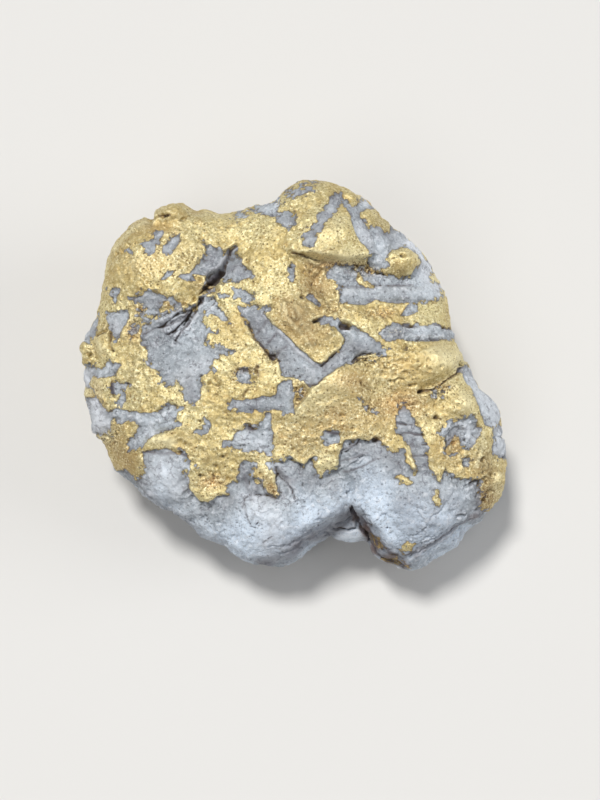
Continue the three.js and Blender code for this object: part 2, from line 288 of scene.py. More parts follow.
FLAKES = [Flake(*row) for row in (
    (0.6, [(12.2, 52.5), (14, 50.9), (15, 49.6), (13.8, 48.2), (12.2, 48.6), (12.4, 50.2), (11, 51.6)]),
    (0.9, [
        (14.8, 46.6), (16.4, 47.6), (20.5, 48), (23, 44), (22.6, 41.8), (21, 41.8), (19.6, 43.6),
        (17.2, 43.8), (16.4, 45.4),
    ]),
    (0.3, [(-39.2, 20.2), (-39, 22), (-37.6, 22), (-37.4, 20.4)]),
    (0.3, [(-54, 1), (-53.4, 3.4), (-51.6, 3), (-50.8, 1.2), (-52, 0.6)]),
    (0.1, [(21.4, -38.6), (23.2, -39.4), (25, -40.4), (26.6, -41.2), (24.6, -41), (22.4, -40)]),
    (0.1, [(17.6, -32.6), (19.4, -34), (21.4, -36), (20.6, -36.2), (18.6, -34.6), (17.2, -33.4)]),
    (0.3, [
        (11, 34), (17, 35.6), (18, 33), (20.8, 32.8), (20.6, 31.6), (17.6, 31.6), (16.4, 33),
        (11, 33.2),
    ]),
    (0.3, [
        (37, -13.8), (36.9, -11.6), (38.6, -9.4), (39.8, -9.4), (40.6, -11.2), (42.4, -11.6),
        (40.4, -12.4), (39.2, -13.4),
    ]),
    (0.8, [
        (22.2, 37), (25, 37.8), (26.6, 37), (29, 34.8), (29.8, 33.6), (28.2, 32.6), (27.6, 31),
        (24, 30.7), (20.6, 31.9), (22.1, 33.8), (21.9, 35.4),
    ]),
    (0.4, [(33.4, 32.4), (35.6, 31.4), (37, 28.8), (34.6, 28.8), (33, 29.8)]),
    (0.3, [(15, 31.2), (16.3, 29.6), (18.6, 28.6), (18.4, 28), (16.4, 28), (14.8, 29.4)]),
    (0.4, [(34.8, 27.3), (37.5, 28), (38, 25), (35, 25.4)]),
    (0.3, [(-35, 24.2), (-31.3, 24), (-31, 23), (-32.4, 22.1), (-34.6, 22.2)]),
    (0.3, [(23.8, -19.4), (25.2, -18.6), (26.2, -18.6), (27.9, -20.4), (27.2, -21.3), (24.8, -20.3)]),
    (0.3, [(33.4, -22.2), (34.4, -22.3), (34.7, -24.2), (35.5, -25.6), (34.8, -26.7), (33, -25.3)]),
    (0.5, [
        (26.2, -10), (27.4, -11.6), (28.2, -14), (29.4, -17.4), (28.6, -18.4), (27.2, -15.6), (26, -13),
        (25.2, -11),
    ]),
    (0.5, [(25, -37.4), (26.2, -35.9), (27.8, -35.3), (28.8, -36.3), (28, -38), (26, -38.3)]),
)]

# A cut is a crack or a deep cleft: half width, depth and the points along it.
Cut = namedtuple("Cut", "width depth path")

CUTS = [Cut(*row) for row in (
    (0.5, 1.6, [
        (12.9, -26.6), (13.6, -28.6), (14.2, -30.4), (14.6, -31.6), (16, -32.4), (17.6, -34.6),
    ]),
    (0.4, 1.4, [(8.6, -32.4), (10, -32), (12, -32.2), (14, -31.8), (14.4, -30.2)]),
    (0.4, 0.7, [(9.4, -31), (11, -30.4), (13, -29.2)]),
    (0.45, 1.1, [(-16, 38.6), (-17.4, 38), (-18.2, 36), (-19, 33.8)]),
    (0.45, 1.4, [(-23.4, 28.2), (-25.2, 26.4), (-25, 24.6), (-27, 22), (-28.1, 19.8), (-28.8, 18.6)]),
    (0.4, 0.8, [(-22.6, 29), (-23.6, 28), (-24.6, 27)]),
    (0.5, 1.2, [(-16, 39), (-17.5, 37.8), (-19, 36.8)]),
    (0.35, 1.0, [(-25.9, 22.2), (-27, 20.4), (-28.2, 18.6), (-30, 16.6), (-31.3, 14.8)]),
    (0.4, 1.2, [(-27.2, 21.4), (-29, 19.6), (-31, 17.6), (-33.3, 16.3)]),
    (0.4, 1.1, [
        (-26, 22.6), (-30, 21.8), (-32.4, 20), (-34.4, 18.1), (-36.6, 17.7), (-38.6, 18), (-40, 16.9),
    ]),
    (0.5, 1.0, [(-29, 24), (-27, 23), (-25.4, 23.6)]),
    (0.4, 0.8, [(-38.8, 18), (-37.4, 20.2), (-35.6, 21.4)]),
    (0.3, 0.6, [(-39.4, 14.8), (-36.4, 15.4), (-34.8, 14.2), (-33.4, 13.6)]),
    (0.35, 0.7, [(-31.6, 4.2), (-29.4, 5), (-27.6, 5.9), (-25.6, 5.6), (-24.4, 6.2)]),
    (0.3, 0.5, [(-29, 43), (-26.4, 43.9), (-24.6, 43.2), (-20, 45)]),
    (0.3, 0.5, [(-26.4, 41.8), (-22, 41.8), (-20, 41.4), (-17, 42)]),
    (0.5, 1.2, [(-47.6, 17), (-47.1, 15), (-47.5, 13.2), (-46.6, 12.2)]),
    (0.6, 1.4, [(-50.5, 16), (-48.6, 17.4), (-48, 18.8)]),
    (0.5, 0.9, [(-2, 36.6), (0.5, 36), (3, 34.9), (5, 34.3)]),
    (0.45, 1.0, [(19.4, 31.4), (21.4, 31.3)]),
    (0.45, 0.9, [(26.2, 31), (28, 31)]),
    (0.4, 0.5, [(12, 28), (17, 28), (20, 28.5), (23, 28.6), (28, 28.9)]),
    (0.4, 0.8, [(14.5, 49.2), (16, 48.8)]),
    (0.45, 1.2, [(-13, 19), (-11.6, 15.8), (-8.4, 12.2), (-5, 9.6)]),
    (0.4, 1.2, [(11.3, 15), (10.4, 13), (8, 11), (6, 9.2), (5, 8.7)]),
    (0.5, 1.2, [(6.6, 5.4), (4.6, 4), (2, 3.7)]),
    (0.5, 1.5, [(3.4, 19.6), (5, 20.2)]),
    (0.6, 1.6, [(13.2, 9.4), (14.6, 10.6), (16.4, 11.7), (18, 11.5)]),
    (0.5, 1.4, [(13.6, 9.3), (15.4, 9.9), (17, 9.8)]),
    (0.4, 0.8, [(26, 18.8), (28.2, 18.5)]),
    (0.4, 1.0, [(35.3, 18), (37.6, 17.6)]),
    (0.35, 0.8, [(26.6, 15.3), (30, 15.3), (35, 15)]),
    (0.5, 1.8, [(29.8, 1.9), (31.4, 2.1), (34, 3), (36, 4.5), (38.6, 6.2), (40, 8.2)]),
    (0.35, 0.8, [(15, 4.6), (16, 3.5), (17.4, 3), (19.8, 3)]),
    (0.35, 0.8, [(23.4, 4.6), (24.4, 5.4), (25.8, 5.1)]),
    (0.4, 1.0, [(27.2, 3.7), (29, 3.9)]),
    (0.35, 0.8, [(29.6, 8.3), (30.6, 8.8)]),
    (0.35, 0.9, [(21.8, 9.2), (23.6, 9.8), (24.6, 9.2)]),
    (0.35, 0.8, [(25, 10.3), (26.6, 9.6)]),
    (0.35, 0.8, [(21.6, 7.6), (23.6, 8.4), (25.6, 7.9)]),
    (0.35, 0.8, [(28.2, 9.9), (29.6, 9.6)]),
    (0.35, 0.8, [(18.8, 10.4), (21, 10.9), (22.6, 10.6)]),
    (0.4, 0.9, [(25.8, 12.8), (28.6, 12.4)]),
    (0.35, 0.7, [(16.8, 9.2), (19.6, 9.1), (20.8, 9.8)]),
    (0.3, 0.6, [(18.4, 6.4), (20.4, 6), (21.6, 6.8)]),
    (0.5, 0.9, [(31.6, -3.6), (33, -4.8), (34.4, -4.4)]),
    (0.35, 0.6, [(38, -8.6), (37.2, -7.2), (38, -6), (39.6, -5.6)]),
    (0.4, 0.9, [(15, -10.4), (14.4, -11.6), (12, -13), (10.4, -13.7)]),
    (0.3, 0.6, [(16, -14), (13, -16), (11, -17.2), (9, -18.8)]),
    (0.4, 0.8, [(-6.2, -17.4), (-5, -19.4), (-3.4, -20.6), (-2, -22.4), (-1.4, -24.6), (-0.4, -26.6)]),
    (0.4, 0.8, [(-8.4, -23.9), (-12.6, -23.7), (-14, -24.8), (-14.5, -27)]),
    (0.3, 0.8, [(-13.9, -26), (-13.3, -29), (-12.4, -31.4), (-11.4, -32), (-10.4, -30.6)]),
    (0.3, 0.7, [(-12.9, -20.2), (-12.7, -21.8)]),
    (0.3, 0.8, [(-9, -35.6), (-7.2, -34.2)]),
    (0.35, 0.8, [(-0.6, -19.4), (0.8, -21.4)]),
    (0.3, 0.7, [(5.4, -19.8), (5.2, -21.6)]),
    (0.3, 0.5, [(-38.6, -22.6), (-35.6, -25.6), (-32, -28.4)]),
    (0.45, 0.7, [(24.4, -5.6), (27, -6.2), (29.6, -5.8)]),
    (0.45, 0.7, [(25, -8.6), (27.6, -8.2), (30.8, -8.8)]),
    (0.45, 0.7, [(26.2, -11), (29, -11.6), (31.6, -11.2)]),
    (0.35, 0.7, [(27.6, -14), (32, -14)]),
    (0.4, 0.8, [(47.9, -9.4), (51, -9.2)]),
    (0.4, 0.9, [(48.4, -14.5), (51.4, -14.3)]),
    (0.35, 0.7, [(40.6, -22.6), (42.4, -21), (44.6, -20.2)]),
    (0.5, 1.0, [(39.6, -29), (41.6, -28.9)]),
    (0.4, 0.5, [(38.6, -22.6), (36, -27), (33, -29), (31.4, -31.6), (30.4, -33.4)]),
    (0.4, 0.8, [(14.4, -29.6), (18, -33.4), (21, -36.4), (25.2, -39.6)]),
    (0.35, 0.6, [(15, -31.4), (18.6, -35.4), (22, -38.6), (26, -41.2)]),
    (0.4, 0.8, [(27, -39.6), (32, -38), (38, -34.4), (44, -30.2)]),
    (0.35, 0.6, [(28, -41), (33, -39.2), (39, -35.6)]),
    (0.4, 0.5, [(30, -36.6), (35, -34.6), (41, -30.8)]),
    (0.5, 0.6, [(-8, -36.8), (-3, -36.6), (1, -34.4), (5, -31.6), (8, -30), (4, -30)]),
    (0.5, 0.6, [(-5, -38.6), (-1, -37.2), (4, -34.6), (8, -32)]),
    (0.5, 1.1, [(-37.6, 43.9), (-36.8, 45.3), (-35, 46), (-33.2, 46.1)]),
    (0.4, 0.8, [(-26.6, 47.6), (-28, 45.9), (-30, 44.9)]),
    (0.3, 0.6, [(-29, 41.4), (-27, 43.2), (-25, 43.4)]),
    (0.3, 0.5, [(-20, 43), (-16, 43.6), (-12.3, 44.8)]),
    (0.3, 0.6, [(-14.3, 0.6), (-13.8, 1.8), (-12.7, 2.7)]),
    (0.5, 1.0, [(-5.9, -17), (-6, -21)]),
)]

# A hole is a round pit: its place, half width and depth.
Hole = namedtuple("Hole", "across up radius depth")

HOLES = [Hole(*row) for row in (
    (10.9, 18.9, 1.3, 2.0), (12, 18.7, 1.2, 2.0), (-7, 11, 1.2, 2.4), (15.2, 10.6, 1.0, 1.6),
    (24.8, 35.4, 0.6, 1.4), (25.6, 36.5, 0.4, 0.5), (0.6, 25.7, 0.6, 1.4), (-34.4, 46.1, 0.7, 1.6),
    (-41, 42.4, 0.5, 0.8), (-43, 38.6, 0.6, 1.0), (-44.4, 37, 0.6, 0.8), (-45.6, 36.5, 0.5, 0.8),
    (-12.1, 41.7, 0.5, 0.7), (-13, 35, 0.6, 0.9), (-11.8, 29.6, 0.5, 0.7), (-52.6, 13.9, 0.5, 0.9),
    (-52.4, 11.2, 0.6, 1.2), (-52.5, 9.2, 0.5, 0.9), (-48.7, 11.5, 0.6, 0.5), (-10.4, 8.3, 0.5, 0.9),
    (-10.9, 7, 0.5, 0.7), (-11.2, 5.4, 0.5, 0.7), (-12.6, -7.0, 0.5, 0.8), (-25.1, -5.4, 0.5, 0.9),
    (-21.1, -16.9, 0.8, 0.9), (-25, -19, 0.7, 1.3), (-21.6, -19.4, 0.6, 0.9), (-45.6, -8, 0.6, 1.1),
    (-1, 2.6, 0.6, 1.2), (0.6, 3.4, 0.5, 1.0), (19.2, -10, 0.9, 1.4), (8.2, -9.4, 0.8, 0.9),
    (26.5, 13.2, 1.1, 1.2), (27.9, 12.7, 0.6, 0.9), (28.4, 9.7, 0.5, 0.9), (24.6, 9.4, 0.5, 0.8),
    (25.4, 10, 0.4, 0.7), (22, 9.2, 0.4, 0.6), (20.4, 9.2, 0.4, 0.6), (36, 7.1, 0.5, 0.5),
    (34, 1.5, 0.6, 0.9), (34, -4.3, 0.7, 1.3), (35.9, -0.5, 0.4, 0.5), (39, -1.9, 0.4, 0.5),
    (45.8, -14.9, 0.8, 1.1), (41.4, -16.5, 0.6, 1.0), (41.5, -17.9, 0.5, 0.9), (39.3, -14.2, 0.5, 0.7),
    (39.6, -16.2, 0.5, 0.7), (46.3, -25.1, 0.7, 1.1), (47.8, -22.6, 0.6, 0.8), (46.2, -19.6, 0.6, 1.1),
    (40.6, -12.9, 0.8, 0.9), (21.8, -32.4, 0.5, 0.9), (22.2, -26.3, 0.4, 0.7), (24.2, -28.3, 0.4, 0.5),
    (11.9, -23.2, 0.5, 0.8), (5.8, -26.3, 0.5, 0.8), (-28, 11.7, 0.7, 0.5), (-34.6, 13.5, 0.5, 0.5),
    (-31, 8, 1.2, 0.4), (40, 8.8, 0.6, 1.2), (14.6, -31.2, 0.8, 1.6), (-5.6, -18.6, 0.6, 1.2),
)]

# Where small pits crowd together: the place, how far they spread, and how many.
Crowd = namedtuple("Crowd", "across up wide high count")

CROWDS = [Crowd(*row) for row in (
    (23, 8.5, 7, 5, 46), (0, 1.8, 1.8, 2.6, 26), (17, 32, 4.2, 1.8, 40), (20, 22, 4, 1.6, 26),
    (42, -15, 4, 3.6, 24), (-22, -18.6, 4, 2, 16), (-7.4, 11.2, 1.8, 1.6, 16), (17, 9.8, 3, 1.6, 20),
    (-41, 18, 2, 3, 20), (-47, -9, 2.4, 2.4, 18), (-22, 2, 3.4, 4, 18), (-14, 6.4, 2.4, 2, 12),
    (-39.6, 8, 3, 3, 12), (-30, -13, 3, 3, 8), (37, -10, 3, 4, 22), (34, 0, 4, 4, 14),
    (23.5, 16.8, 3.6, 1.6, 22), (-8, 35, 12, 9, 26), (-30, 36, 13, 8, 18), (8, -8, 12, 6, 26),
    (-17, -10, 7, 7, 20), (-24, 24, 4, 3, 16), (-2, 31.5, 1, 3, 12), (46.5, -20, 2, 6, 14),
    (-52.6, 11, 1.4, 3.6, 10), (3, 31, 3, 3, 14), (8, 23, 2, 1.4, 14),
)]

# A patch fades out from its middle: place, reach, and how much of something it brings there.
Patch = namedtuple("Patch", "across up wide high amount")

# Broad swellings and hollows on top of the stone's own, in mm.
MOUNDS = [Patch(*row) for row in (
    (9.5, 40.5, 5, 5, 0.8), (26.2, 34.6, 3.3, 3, 2.6), (35.6, 9.4, 5, 4.6, 2.2),
    (40.4, -0.8, 3.2, 3.6, 2.6), (-49, 13.4, 2.2, 3, 1.0), (-49, 2.4, 2.6, 3.4, 1.0),
    (6, 3.4, 6, 5, 1.6), (-25, 38, 9, 6, 0.5), (-34.5, -10, 3, 1.6, 0.6), (6.6, -15.6, 3, 2.6, 0.5),
    (-22.4, -23.4, 3.4, 1.8, 0.6), (-33, -19, 6, 6, 1.0), (19, 0, 4, 4, -0.8), (26.5, 2, 4, 3, -0.5),
    (33, -11, 2.4, 5, 0.6), (22, 30, 9, 3, -0.7), (-13, 33, 3, 4, -0.4), (-13, -21.6, 1.3, 2.6, -1.0),
    (-4, -19.2, 2, 1.2, -1.0), (-10.6, -23.6, 1, 2, -0.7), (46.2, -21.6, 1.2, 1.6, 0.6),
    (-13, -10.4, 3.6, 2, 0.5), (19.6, -38.2, 3.2, 3, 2.4), (24, -42.4, 3.4, 2, 0.5),
    (-9, -28, 6, 4, 0.8), (28, -25, 8, 6, 0.8), (-27.3, 3, 2.6, 2.6, 0.4), (4, -22, 5, 4, 0.5),
    # the outline, brought in or out
    (4, -39, 4, 3, -2.4), (36, -40, 6, 4, -2.6), (44, -33, 4, 4, -1.6), (49, -3, 3, 6, 1.6),
    (-54, 15, 2.4, 5, 1.2), (-51, -8, 3, 5, 2.4), (-53, 0, 2, 4, 1.2), (-55, 11, 2, 3, -0.9),
    (-26, -33.5, 6, 3, 1.3), (-46, -18, 3, 4, 1.2), (-1, 54, 6, 2.6, 1.3), (-20, 48, 5, 2, -1.2),
    (-41.5, 43.4, 2.2, 2, 0.5), (-37.6, 45.6, 0.9, 1.8, -2.4), (-26, 49, 2, 2, -1.5),
    (-11, 48.6, 3, 2, 0.8), (42, -34.4, 4, 3, -2.2), (22, 46.5, 3, 3, -1.0), (30, 41, 4, 3, -0.8),
    # the hollow under the plate and the column beside it, and the tilted plate in the middle
    (4.6, 29.4, 3.2, 4, -1.3), (-1.8, 30, 2.2, 7, 0.8), (-4, 21, 4, 4, 0.8), (-6, 36, 4, 8, 0.5),
)]

# Blocks joined on to the stone: the corners of the top and of the foot, each a place on the
# sheet and how far out of it towards the eye, and how much the edges are worn round.
Block = namedtuple("Block", "worn top foot")

BLOCKS = {
    "left_foot": Block(
        1.8,
        [(12.9, -26.1, 7.8), (8.5, -28.7, 8.4), (4, -31, 8.4), (0, -33.8, 7.8), (-5, -36.8, 6.2),
         (-9, -30, 8), (0, -23, 8.8), (11, -20, 8.8)],
        [(13.4, -30.4, -6), (8.2, -33.8, -5), (4, -36.6, -5), (0, -39.3, -5), (-5, -41.3, -5),
         (-9, -30, -8), (0, -23, -8), (11, -20, -8)],
    ),
    "right_block": Block(
        0.5,
        [(12.5, -26, 8.6), (16, -28.6, 8.3), (19.2, -31.4, 7.7), (22.2, -34.2, 6.9), (26, -37.8, 5.2),
         (32, -34, 7.4), (30, -22, 9.4), (15, -19, 9)],
        [(13.8, -30.2, -9), (15.8, -33, -9), (18.6, -36.8, -9), (21.8, -40.2, -9), (26, -43, -9),
         (32, -38, -9), (30, -22, -9), (15, -19, -9)],
    ),
    "third_foot": Block(
        1.2,
        [(9.2, -30.4, 0), (12, -29.6, 0.8), (14.6, -29.6, 0.6), (16, -31.6, -0.4), (17, -33.6, -2),
         (14.4, -34.9, -2), (11.8, -35.2, -1.6), (9.8, -34.4, -1.4), (8.4, -33.2, -1)],
        [(6, -29, -13), (12, -28, -13), (17, -29, -13), (20, -31.6, -13), (19.4, -34.4, -13),
         (14.6, -34.7, -13), (11.6, -34.9, -13), (8.8, -34.2, -13), (6.4, -33.4, -13)],
    ),
}

# Knobs joined on to the stone: the place, how far out of the sheet, and the half sizes.
Knob = namedtuple("Knob", "across up out wide high deep")

KNOBS = [Knob(*row) for row in (
    (-31.6, 46, -1.5, 4.2, 2.9, 4), (-35.4, 44.8, -2, 2.4, 2, 3), (-52.4, 11, -3, 2.2, 3.4, 4),
    (49.4, -20, -2, 1.9, 2.6, 4),
)]

# A ledge rises to its line from the left, going along its points, over its fade. To the right
# the ground falls by its drop within its slope and comes level again within its width.
Ledge = namedtuple("Ledge", "lift fade slope drop width path")

LEDGES = [Ledge(*row) for row in (
    (0.8, 8, 2.3, 1.5, 8, [(-1.6, 37.3), (2, 37.4), (6, 37), (11, 36.4), (17, 36.5)]),
    (0.6, 6, 1.2, 0.8, 4, [(14, 9.5), (11, 8.7), (7, 6.2), (3.2, 2.2), (-0.6, -2.6)]),
    (0.5, 4, 1.0, 1.7, 4, [(-23.8, 28.8), (-21, 32.4), (-18.2, 36.8)]),
    (0.5, 3, 0.7, 1.0, 3, [(40, 8.2), (38.6, 6.2), (36, 4.5), (34, 3), (31.4, 2.1)]),
)]

# A rod is a rounded bar of quartz lying in its window: half width, rise and the points along it.
Rod = namedtuple("Rod", "width rise path")

RODS = [Rod(*row) for row in (
    (1.1, 0.8, [(-36.6, 19.2), (-32, 20.6), (-28, 23.2)]),
    (0.8, 0.7, [(-34, 17.2), (-31, 18.7), (-28.2, 21.6)]),
    (0.9, 0.6, [(-31, 15.8), (-28.6, 17.6), (-26, 21)]),
    (0.8, 0.5, [(-26.6, 17.4), (-24.6, 20.8), (-21, 24)]),
    (0.9, 0.5, [(27, -40.4), (33, -38), (39.4, -34), (45.4, -28.6)]),
    (0.9, 0.8, [(35.8, -9), (36.8, -6.8), (39, -5.8), (41, -6.4)]),
    (1.9, 1.0, [(10.5, 26.2), (20, 26.6), (34, 26.4)]),
    (1.7, 0.8, [(21.6, 16.6), (30, 16.9), (39.5, 16.4)]),
    (1.5, 0.4, [(12.6, 48), (15, 43.6), (17.4, 38.4), (19.4, 35)]),
    (1.1, 0.5, [(20, 42.5), (22, 38.6)]), (1.2, 0.5, [(2.4, 39.2), (5, 43.6), (8.8, 50)]),
    (1.3, 0.5, [(-17.6, -1.5), (-3, -1.2)]), (1.5, 0.5, [(-3.6, -1), (-3.8, 4)]),
    (0.9, 0.6, [(30.8, 34), (27, 39), (24, 41)]), (1.2, 0.5, [(9.5, 31.6), (14.5, 31.4)]),
    (1.5, 0.6, [(-46, -4), (-38, -5.4), (-31, -3.4)]),
)]

# Where the edges of the windows run straight.
CALM = [Patch(*row) for row in (
    (-9, -0.4, 9, 3.6, 1), (-4, 2, 3, 4, 1), (-7, 16, 7, 7, 0.9), (2, 10, 6, 5, 0.9),
    (7, 44, 7, 9, 0.7), (14, 43, 4, 8, 0.7), (17.4, -1.4, 3, 2.4, 0.8), (27.6, -14, 2, 4, 0.7),
    (7.6, -9.6, 3, 2.4, 0.8), (-21, 31, 3, 3, 0.7), (22, 26, 16, 3, 0.9), (30, 16.6, 12, 3, 0.9),
    (14, 14, 6, 6, 0.8), (-13, -10, 5, 4, 0.8), (29, -10, 4, 9, 0.6), (-46, 19, 3, 4, 0.8),
    (46, 0, 5, 9, 0.6), (-2, 31.6, 2, 4, 0.8), (-35, 39, 3, 4, 0.6), (-30, 39, 3, 4, 0.6),
)]

# Where gold and quartz crumble into each other.
CRUMBS = [Patch(*row) for row in (
    (8, 33.6, 5, 0.9, 0.6), (17, 32.2, 4.6, 1.6, 1.0), (20, 22, 4.6, 1.5, 0.8), (0, 1.6, 1.6, 3.2, 1.0),
    (17.4, 9.6, 3, 1.3, 0.9), (-47.6, -9.4, 2.2, 2.6, 0.9), (-41.6, 17.6, 1.6, 2.2, 0.8),
    (-22, -20, 3.4, 1.6, 0.7), (38.4, -10.6, 1.6, 1.6, 0.55), (36.4, 3, 2.4, 1.2, 0.8),
    (-39.6, 22, 1.2, 1.4, 0.8), (-7, 11, 1.8, 1.4, 0.9), (26.8, 12.8, 1.8, 1, 0.8),
    (46.4, -24, 1.6, 2.8, 0.8), (-13, 7.6, 2.6, 1, 0.7), (8.6, 23, 2.2, 1.3, 0.8),
    (-20.4, 14, 1.8, 2.4, 0.5), (23.4, 17, 2.8, 1.2, 0.6), (34, 1.2, 2, 1.4, 0.9),
    (-7, -23, 1.4, 1.6, 0.6), (-23.4, 28.4, 1.6, 1.4, 0.9), (-30.6, 23, 3, 1, 0.6),
    (17.4, -1.6, 2.4, 1.8, 0.7), (-16.6, 5.4, 1.3, 2.4, 0.9), (-11.8, 4, 1.1, 2.2, 0.8),
    (42, -16, 2, 2.4, 0.5), (-21, 3, 1.6, 3.6, 0.6), (27, -0.4, 3, 1.4, 0.5),
)]

# Where the surface is stained brown, and where brown shade is painted on slopes and hollows turned from
# the light.
STAINS_AND_SHADE = [Patch(*row) for row in (
    (8, 33.6, 5, 1.2, 0.8), (-1, -9, 12, 6, 0.28), (14, -5, 9, 6, 0.28), (24, 8, 7, 4, 0.28),
    (25, -2, 7, 4, 0.35), (4, 30, 3.6, 4.4, 0.6), (-2, 18, 6, 5, 0.35), (38, -12, 5, 6, 0.35),
    (45, -22, 4, 6, 0.35), (10.5, 5, 3.6, 2.4, 0.5), (15, 4, 3, 3, 0.35), (-38, 34, 6, 3, 0.25),
    (-44, -11, 4, 6, 0.12), (8, 22, 5, 2, 0.3), (-50.4, 2, 1.4, 4, 0.5), (-46.5, -10, 2, 3, 0.3),
    (-43, -15, 2, 3, 0.4), (16.4, -32.4, 1.8, 2.4, 1), (19.4, -36, 1.8, 2.4, 1), (23, -39, 2, 2, 1),
    (26.6, -41, 2, 1.6, 0.7), (13.6, -29.4, 1, 1.6, 0.9), (31, -38.4, 3, 1.2, 0.6),
    (44, -29.6, 3, 1.6, 0.6), (-41.6, 17.4, 1.4, 2, 0.8), (-40, 22.8, 1.4, 1.2, 0.7),
    (-23, 28, 1.8, 1.6, 0.9), (-6.8, -23, 1.8, 2.4, 1), (-22, -20.6, 3.4, 1.8, 0.8),
    (-14.6, 6.8, 1.6, 1.2, 0.7), (17, 32, 4, 2, 0.6), (38.6, -10.4, 1.8, 2, 0.4), (0, 2, 1.6, 3, 0.5),
    (26, -0.6, 5, 3, 0.5), (19.2, -10, 1.6, 1, 0.8), (-31.6, 24, 3, 1.2, 0.5), (39, -33.6, 8, 2, 0.5),
    (21, 21.8, 4, 1.4, 0.5), (46.4, -24.6, 1.6, 2.4, 0.5), (36, 3.4, 2, 1.2, 0.5), (-35, 43, 5, 2, 0.3),
    (9, -3, 3, 3, 0.25),
)]

# A stroke is brushed along a path: half width, strength and the points along it.
Stroke = namedtuple("Stroke", "width strength path")
